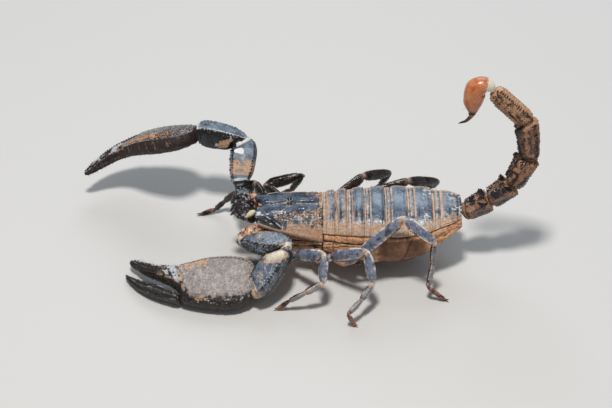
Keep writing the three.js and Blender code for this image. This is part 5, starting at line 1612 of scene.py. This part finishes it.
# Each look: two tones of the cuticle, two of the dust, which also colour painted gloss streaks and painted
# light on crests, the dark colour, which also paints shade, and the pale colour, which also paints highlights
# and glints, the roughness of clean, dusty and dark cuticle, the strength of the fine bumps and the specular
# level.
LOOKS = {
    "carapace": [(.020, .036, .066), (.076, .108, .160), (.52, .235, .110), (.40, .300, .210),
                 (.004, .004, .006), (.50, .51, .49), .20, .8, .12, .6, .55],
    "tergite": [(.045, .078, .128), (.125, .175, .240), (.62, .340, .195), (.50, .390, .290),
                (.012, .012, .016), (.56, .54, .51), .22, .8, .25, .7, .8],
    "membrane": [(.64, .300, .140), (.46, .210, .100), (.72, .43, .26), (.56, .31, .17),
                 (.060, .026, .014), (.80, .58, .42), .45, .75, .45, .9, .4],
    "front": [(.52, .240, .115), (.34, .170, .090), (.70, .36, .19), (.52, .29, .17),
              (.018, .010, .008), (.80, .62, .50), .38, .75, .3, .9, .6],
    "belly": [(.150, .064, .030), (.100, .044, .022), (.34, .18, .10), (.22, .12, .065),
              (.012, .008, .006), (.4, .3, .2), .3, .7, .35, .4, .5],
    "hand_left": [(.37, .320, .300), (.26, .230, .220), (.60, .360, .215), (.46, .300, .190),
                  (.012, .0065, .005), (.52, .56, .62), .42, .8, .16, 1.0, .5],
    "hand_right": [(.32, .290, .275), (.200, .185, .185), (.58, .300, .155), (.42, .220, .120),
                   (.020, .0062, .0038), (.52, .56, .62), .38, .75, .2, 1.0, .4],
    "arm_left": [(.090, .125, .180), (.200, .232, .285), (.50, .350, .235), (.58, .36, .215),
                 (.006, .006, .008), (.74, .66, .54), .24, .8, .16, .9, .8],
    "arm_right": [(.060, .088, .128), (.150, .200, .265), (.56, .360, .235), (.46, .27, .155),
                  (.008, .0050, .0040), (.78, .80, .81), .24, .75, .18, .6, .6],
    "tail": [(.225, .104, .054), (.110, .058, .036), (.46, .238, .130), (.32, .165, .092),
             (.008, .0065, .0065), (.56, .42, .32), .32, .75, .2, .8, .45],
    "tail_base": [(.215, .100, .052), (.100, .056, .036), (.46, .232, .124), (.32, .160, .088),
                  (.006, .006, .009), (.42, .47, .55), .28, .75, .12, .5, .8],
    "tail_end": [(.33, .155, .080), (.190, .090, .048), (.60, .335, .190), (.44, .235, .130),
                 (.012, .007, .006), (.66, .50, .36), .35, .7, .22, .8, .45],
    "venom": [(.62, .190, .062), (.50, .140, .048), (.66, .33, .17), (.52, .25, .12),
              (.06, .020, .011), (.84, .76, .62), .22, .6, .3, .35, .6],
    "sting": [(.10, .042, .022), (.06, .026, .016), (.36, .145, .065), (.28, .11, .05),
              (.006, .005, .004), (.3, .2, .1), .2, .4, .16, .2, .6],
    "jaw_left": [(.045, .028, .036), (.110, .070, .085), (.76, .70, .44), (.66, .58, .34),
                 (.005, .003, .003), (.46, .47, .58), .14, .6, .12, .5, .9],
    "jaw_right": [(.045, .028, .036), (.110, .070, .085), (.56, .26, .12), (.40, .19, .095),
                  (.005, .003, .003), (.46, .47, .58), .14, .6, .12, .5, .9],
    # The near legs and feet take lit copies of one cuticle, the far ones much darker copies in painted shade.
    "leg_near": [(.120, .155, .235), (.245, .270, .345), (.58, .400, .285), (.52, .320, .205),
                 (.008, .007, .009), (.78, .72, .69), .22, .8, .18, .7, .9],
    "leg_far": [(.018, .016, .018), (.045, .034, .030), (.28, .160, .105), (.20, .115, .078),
                (.004, .004, .004), (.38, .34, .32), .26, .75, .2, .7, .45],
    "foot_near": [(.165, .170, .205), (.270, .260, .280), (.40, .160, .110), (.28, .100, .070),
                  (.012, .006, .005), (.60, .44, .33), .34, .65, .22, .8, .6],
    "foot_far": [(.040, .032, .032), (.085, .062, .054), (.24, .105, .07), (.16, .070, .045),
                 (.006, .004, .004), (.42, .36, .33), .30, .65, .22, .7, .45],
}


class Nodes:
    """Short ways to add and join shader nodes."""

    def __init__(self, material):
        material.use_nodes = True
        self.tree = material.node_tree
        self.tree.nodes.clear()

    def add(self, kind, **inputs):
        node = self.tree.nodes.new(kind)
        for name, value in inputs.items():
            self.set(node.inputs[name.replace("_", " ")], value)
        return node

    def set(self, socket, value):
        if isinstance(value, bpy.types.NodeSocket):
            self.tree.links.new(value, socket)
        else:
            socket.default_value = value

    def math(self, operation, *values, clamp=False):
        node = self.tree.nodes.new("ShaderNodeMath")
        node.operation = operation
        node.use_clamp = clamp
        for socket, value in zip(node.inputs, values):
            self.set(socket, value)
        return node.outputs[0]

    def mix(self, factor, first, second, kind="RGBA"):
        node = self.tree.nodes.new("ShaderNodeMix")
        node.data_type = kind
        sockets = [s for s in node.inputs if s.enabled]
        values = [factor, first, second]
        if kind == "RGBA":
            values[1:] = [(*v, 1) if isinstance(v, tuple) else v for v in values[1:]]
        for socket, value in zip(sockets, values):
            self.set(socket, value)
        return next(s for s in node.outputs if s.enabled)

    def multiply(self, first, second):
        return self.math("MULTIPLY", first, second)

    def scaled(self, value, factor, more, clamp=False):
        return self.math("MULTIPLY_ADD", value, factor, more, clamp=clamp)

    def noise(self, place, scale, detail, roughness=0.6):
        node = self.add("ShaderNodeTexNoise", Vector=place, Scale=scale, Detail=detail, Roughness=roughness)
        return node.outputs["Fac"]

    def span(self, value, low, high):
        node = self.add("ShaderNodeMapRange", Value=value)
        node.interpolation_type = "SMOOTHSTEP"
        node.inputs["From Min"].default_value = low
        node.inputs["From Max"].default_value = high
        return node.outputs["Result"]

    def finish(self, shader, colour):
        """Gives the shader its colour and sends it to the output."""
        self.set(shader.inputs["Base Color"], colour)
        self.set(self.add("ShaderNodeOutputMaterial").inputs["Surface"], shader.outputs[0])


# Noise scales in swells to a metre, how far noise breaks up the edges of the four amounts, how well full
# dust, with the painted sheen it carries, and full darkness cover the colour below, the roughness of matte
# cuticle and the height of its bumps.
BROAD, MEDIUM, FINE, CELLS = 420.0, 1150.0, 2900.0, 6200.0
BREAKUP = (0.85, 0.55, 0.7, 0.4)
DUST_AND_SHEEN_COVER, DARK_COVER = 0.94, 0.96
MATTE_ROUGHNESS = 0.7
BUMP_DEPTH = 0.00005


def cuticle(name):
    """Weathered cuticle: two tones, broken dust, dark and pale patches that also paint sheen, shade and
    highlights, and fine bumps.
    """
    (first, second, dust_and_sheen_a, dust_and_sheen_b, dark_colour, pale_colour,
     clean, dusty, dark_rough, bumps, specular) = LOOKS[name]
    material = bpy.data.materials.new(name)
    n = Nodes(material)
    place = n.add("ShaderNodeTexCoord").outputs["Object"]
    broad = n.noise(place, BROAD, 5.0)
    medium = n.noise(place, MEDIUM, 5.0, 0.65)
    fine = n.noise(place, FINE, 4.0, 0.7)
    amounts = {}
    for amount, breakup in zip(AMOUNTS, BREAKUP):
        attribute = n.tree.nodes.new("ShaderNodeAttribute")
        attribute.attribute_name = amount
        speckle = n.scaled(n.math("SUBTRACT", fine, 0.5), 0.9, n.math("SUBTRACT", medium, 0.5))
        value = n.scaled(speckle, breakup, n.multiply(attribute.outputs["Fac"], 1.15))
        amounts[amount] = n.span(value, 0.18, 0.88)
    base = n.mix(n.span(broad, 0.36, 0.64), first, second)
    dust_and_sheen = n.mix(n.span(medium, 0.38, 0.62), dust_and_sheen_a, dust_and_sheen_b)
    colour = n.mix(n.multiply(amounts["dust_and_sheen"], DUST_AND_SHEEN_COVER), base, dust_and_sheen)
    colour = n.mix(amounts["pale"], colour, pale_colour)
    colour = n.mix(n.multiply(amounts["dark"], DARK_COVER), colour, dark_colour)
    shade = n.scaled(n.span(fine, 0.33, 0.67), 0.95, 0.56)
    shade = n.multiply(shade, n.scaled(n.span(medium, 0.33, 0.67), 0.5, 0.77))
    grainy = n.scaled(amounts["pale"], -0.6 * bumps, bumps)
    shade = n.mix(grainy, 1.0, shade, "FLOAT")
    toned = n.add("ShaderNodeMix")
    toned.data_type, toned.blend_type = "RGBA", "MULTIPLY"
    sockets = [s for s in toned.inputs if s.enabled]
    n.set(sockets[0], 1.0)
    n.set(sockets[1], colour)
    n.set(sockets[2], shade)
    roughness = n.mix(amounts["dust_and_sheen"], clean, dusty, "FLOAT")
    roughness = n.mix(n.multiply(amounts["pale"], 0.6), roughness, dusty, "FLOAT")
    roughness = n.mix(amounts["dark"], roughness, dark_rough, "FLOAT")
    roughness = n.mix(amounts["matte"], roughness, MATTE_ROUGHNESS, "FLOAT")
    roughness = n.scaled(n.math("SUBTRACT", medium, 0.5), 0.22, roughness, clamp=True)
    cells = n.add("ShaderNodeTexVoronoi", Vector=place, Scale=CELLS)
    height = n.scaled(cells.outputs["Distance"], 0.35, n.scaled(medium, 0.8, fine))
    bump = n.add("ShaderNodeBump", Height=height, Strength=bumps, Distance=BUMP_DEPTH)
    shader = n.add("ShaderNodeBsdfPrincipled", Roughness=roughness, Normal=bump.outputs[0])
    shader.inputs["Specular IOR Level"].default_value = specular
    n.finish(shader, next(s for s in toned.outputs if s.enabled))
    return material


def eye_glass():
    """Black polished lens with a faint brown depth."""
    material = bpy.data.materials.new("eye_lens")
    n = Nodes(material)
    place = n.add("ShaderNodeTexCoord").outputs["Object"]
    cloud = n.noise(place, 1800.0, 3.0)
    colour = n.mix(n.span(cloud, 0.3, 0.7), (.004, .004, .005), (.014, .010, .008))
    shader = n.add("ShaderNodeBsdfPrincipled", Roughness=0.06)
    shader.inputs["Coat Weight"].default_value = 1.0
    shader.inputs["Coat Roughness"].default_value = 0.02
    n.finish(shader, colour)
    return material


materials = {name: cuticle(name) for name in LOOKS}
materials["eye"] = eye_glass()


def publish(name, parts, slot, *nodes, look):
    """Makes one piece of the parts: it rides on the body, stands for the solids and takes its finish."""
    points, quads, triangles, masks = [], [], [], []
    count = 0
    for part in parts:
        points.append(part.points)
        quads.append(part.quads + count)
        triangles.append(part.triangles + count)
        masks.append(part.masks)
        count += len(part.points)
    points = np.concatenate(points)
    points[:, 2] = np.maximum(points[:, 2], 0)
    points = (points + ANCHOR) * MM
    quads, triangles, masks = np.concatenate(quads), np.concatenate(triangles), np.concatenate(masks)
    mesh = bpy.data.meshes.new(name)
    corners = np.concatenate([quads.ravel(), triangles.ravel()]).astype(np.int32)
    starts = np.concatenate([4 * np.arange(len(quads)), 4 * len(quads) + 3 * np.arange(len(triangles))])
    mesh.vertices.add(len(points))
    mesh.vertices.foreach_set("co", points.astype(np.float32).ravel())
    mesh.loops.add(len(corners))
    mesh.loops.foreach_set("vertex_index", corners)
    mesh.polygons.add(len(starts))
    mesh.polygons.foreach_set("loop_start", starts.astype(np.int32))
    mesh.update(calc_edges=True)
    mesh.validate()
    mesh.polygons.foreach_set("use_smooth", np.ones(len(mesh.polygons), bool))
    for index, amount in enumerate(AMOUNTS):
        attribute = mesh.attributes.new(amount, "FLOAT", "POINT")
        attribute.data.foreach_set("value", masks[:, index].astype(np.float32))
    mesh.materials.append(materials[look])
    piece = bpy.data.objects.new(name, mesh)
    bpy.context.scene.collection.objects.link(piece)
    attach(piece, "root")
    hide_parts(*nodes)
    return piece


build_carapace()
build_eyes()
build_tergites()
build_pleura()
build_belly()
build_pectens()
build_coxae()
build_chelicerae()
build_tail()
build_telson()
for leg_name, leg_points in LEG_JOINTS.items():
    build_leg(leg_name, leg_points)
for arm_name, arm_measures in PEDIPALPS.items():
    build_arm(arm_name, arm_measures)
    claw_seed = 500 if arm_name == "left" else 600
    arm_claw = Claw(arm_measures, claw_seed)
    build_hand(arm_name, arm_claw, claw_seed)
    build_finger(arm_name, arm_claw, claw_seed, arm_measures["open"])

# ------------------------------------------------------------------ floor, light and camera

FLOOR_SIZE = 6.0
SKY_STRENGTH = 0.24
# Each lamp: its place, what it points at, its width, its power and its colour.
LAMPS = {
    "key": ((-0.03, -0.12, 0.60), (-0.01, 0, 0.01), 0.08, 2.6, (1.0, 0.975, 0.94)),
    "sky": ((0.05, 0.55, 0.47), (-0.01, 0, 0.01), 0.40, 1.5, (0.80, 0.90, 1.0)),
}
CAMERA_TARGET = np.array([-3.9, 7.0, 10.0])
CAMERA_DISTANCE = 485.0
CAMERA_ELEVATION = math.radians(40)
CAMERA_LENS = 116.06

scene = bpy.context.scene
mesh = bpy.data.meshes.new("floor")
half = FLOOR_SIZE / 2
mesh.from_pydata([(-half, -half, 0), (half, -half, 0), (half, half, 0), (-half, half, 0)], [], [(0, 1, 2, 3)])
floor = bpy.data.objects.new("floor", mesh)
scene.collection.objects.link(floor)
paper = bpy.data.materials.new("floor_paper")
paper_nodes = Nodes(paper)
paper_nodes.finish(paper_nodes.add("ShaderNodeBsdfPrincipled", Roughness=0.9), (.70, .69, .675, 1))
mesh.materials.append(paper)

world = bpy.data.worlds.new("studio")
world.use_nodes = True
world.node_tree.nodes["Background"].inputs["Color"].default_value = (.93, .96, 1.0, 1)
world.node_tree.nodes["Background"].inputs["Strength"].default_value = SKY_STRENGTH
scene.world = world


def stand(holder, place, aim):
    """Stands a lamp or camera at a place, pointing at its aim."""
    holder.location = place
    holder.rotation_euler = (aim - place).to_track_quat("-Z", "Y").to_euler()
    scene.collection.objects.link(holder)


def lamp(name, place, aim, size, power, colour):
    light = bpy.data.lights.new(name, "AREA")
    light.shape = "SQUARE"
    light.size = size
    light.energy = power
    light.color = colour
    holder = bpy.data.objects.new(name, light)
    stand(holder, Vector(place), Vector(aim))


for lamp_name, settings in LAMPS.items():
    lamp(lamp_name, *settings)

lens = bpy.data.cameras.new("view")
lens.lens = CAMERA_LENS
lens.sensor_width = 36
lens.clip_start = 0.01
camera = bpy.data.objects.new("view", lens)
away = np.array([0, -math.cos(CAMERA_ELEVATION), math.sin(CAMERA_ELEVATION)]) * CAMERA_DISTANCE
stand(camera, Vector((CAMERA_TARGET + away + ANCHOR) * MM), Vector((CAMERA_TARGET + ANCHOR) * MM))
scene.camera = camera
scene.view_settings.view_transform = "Standard"
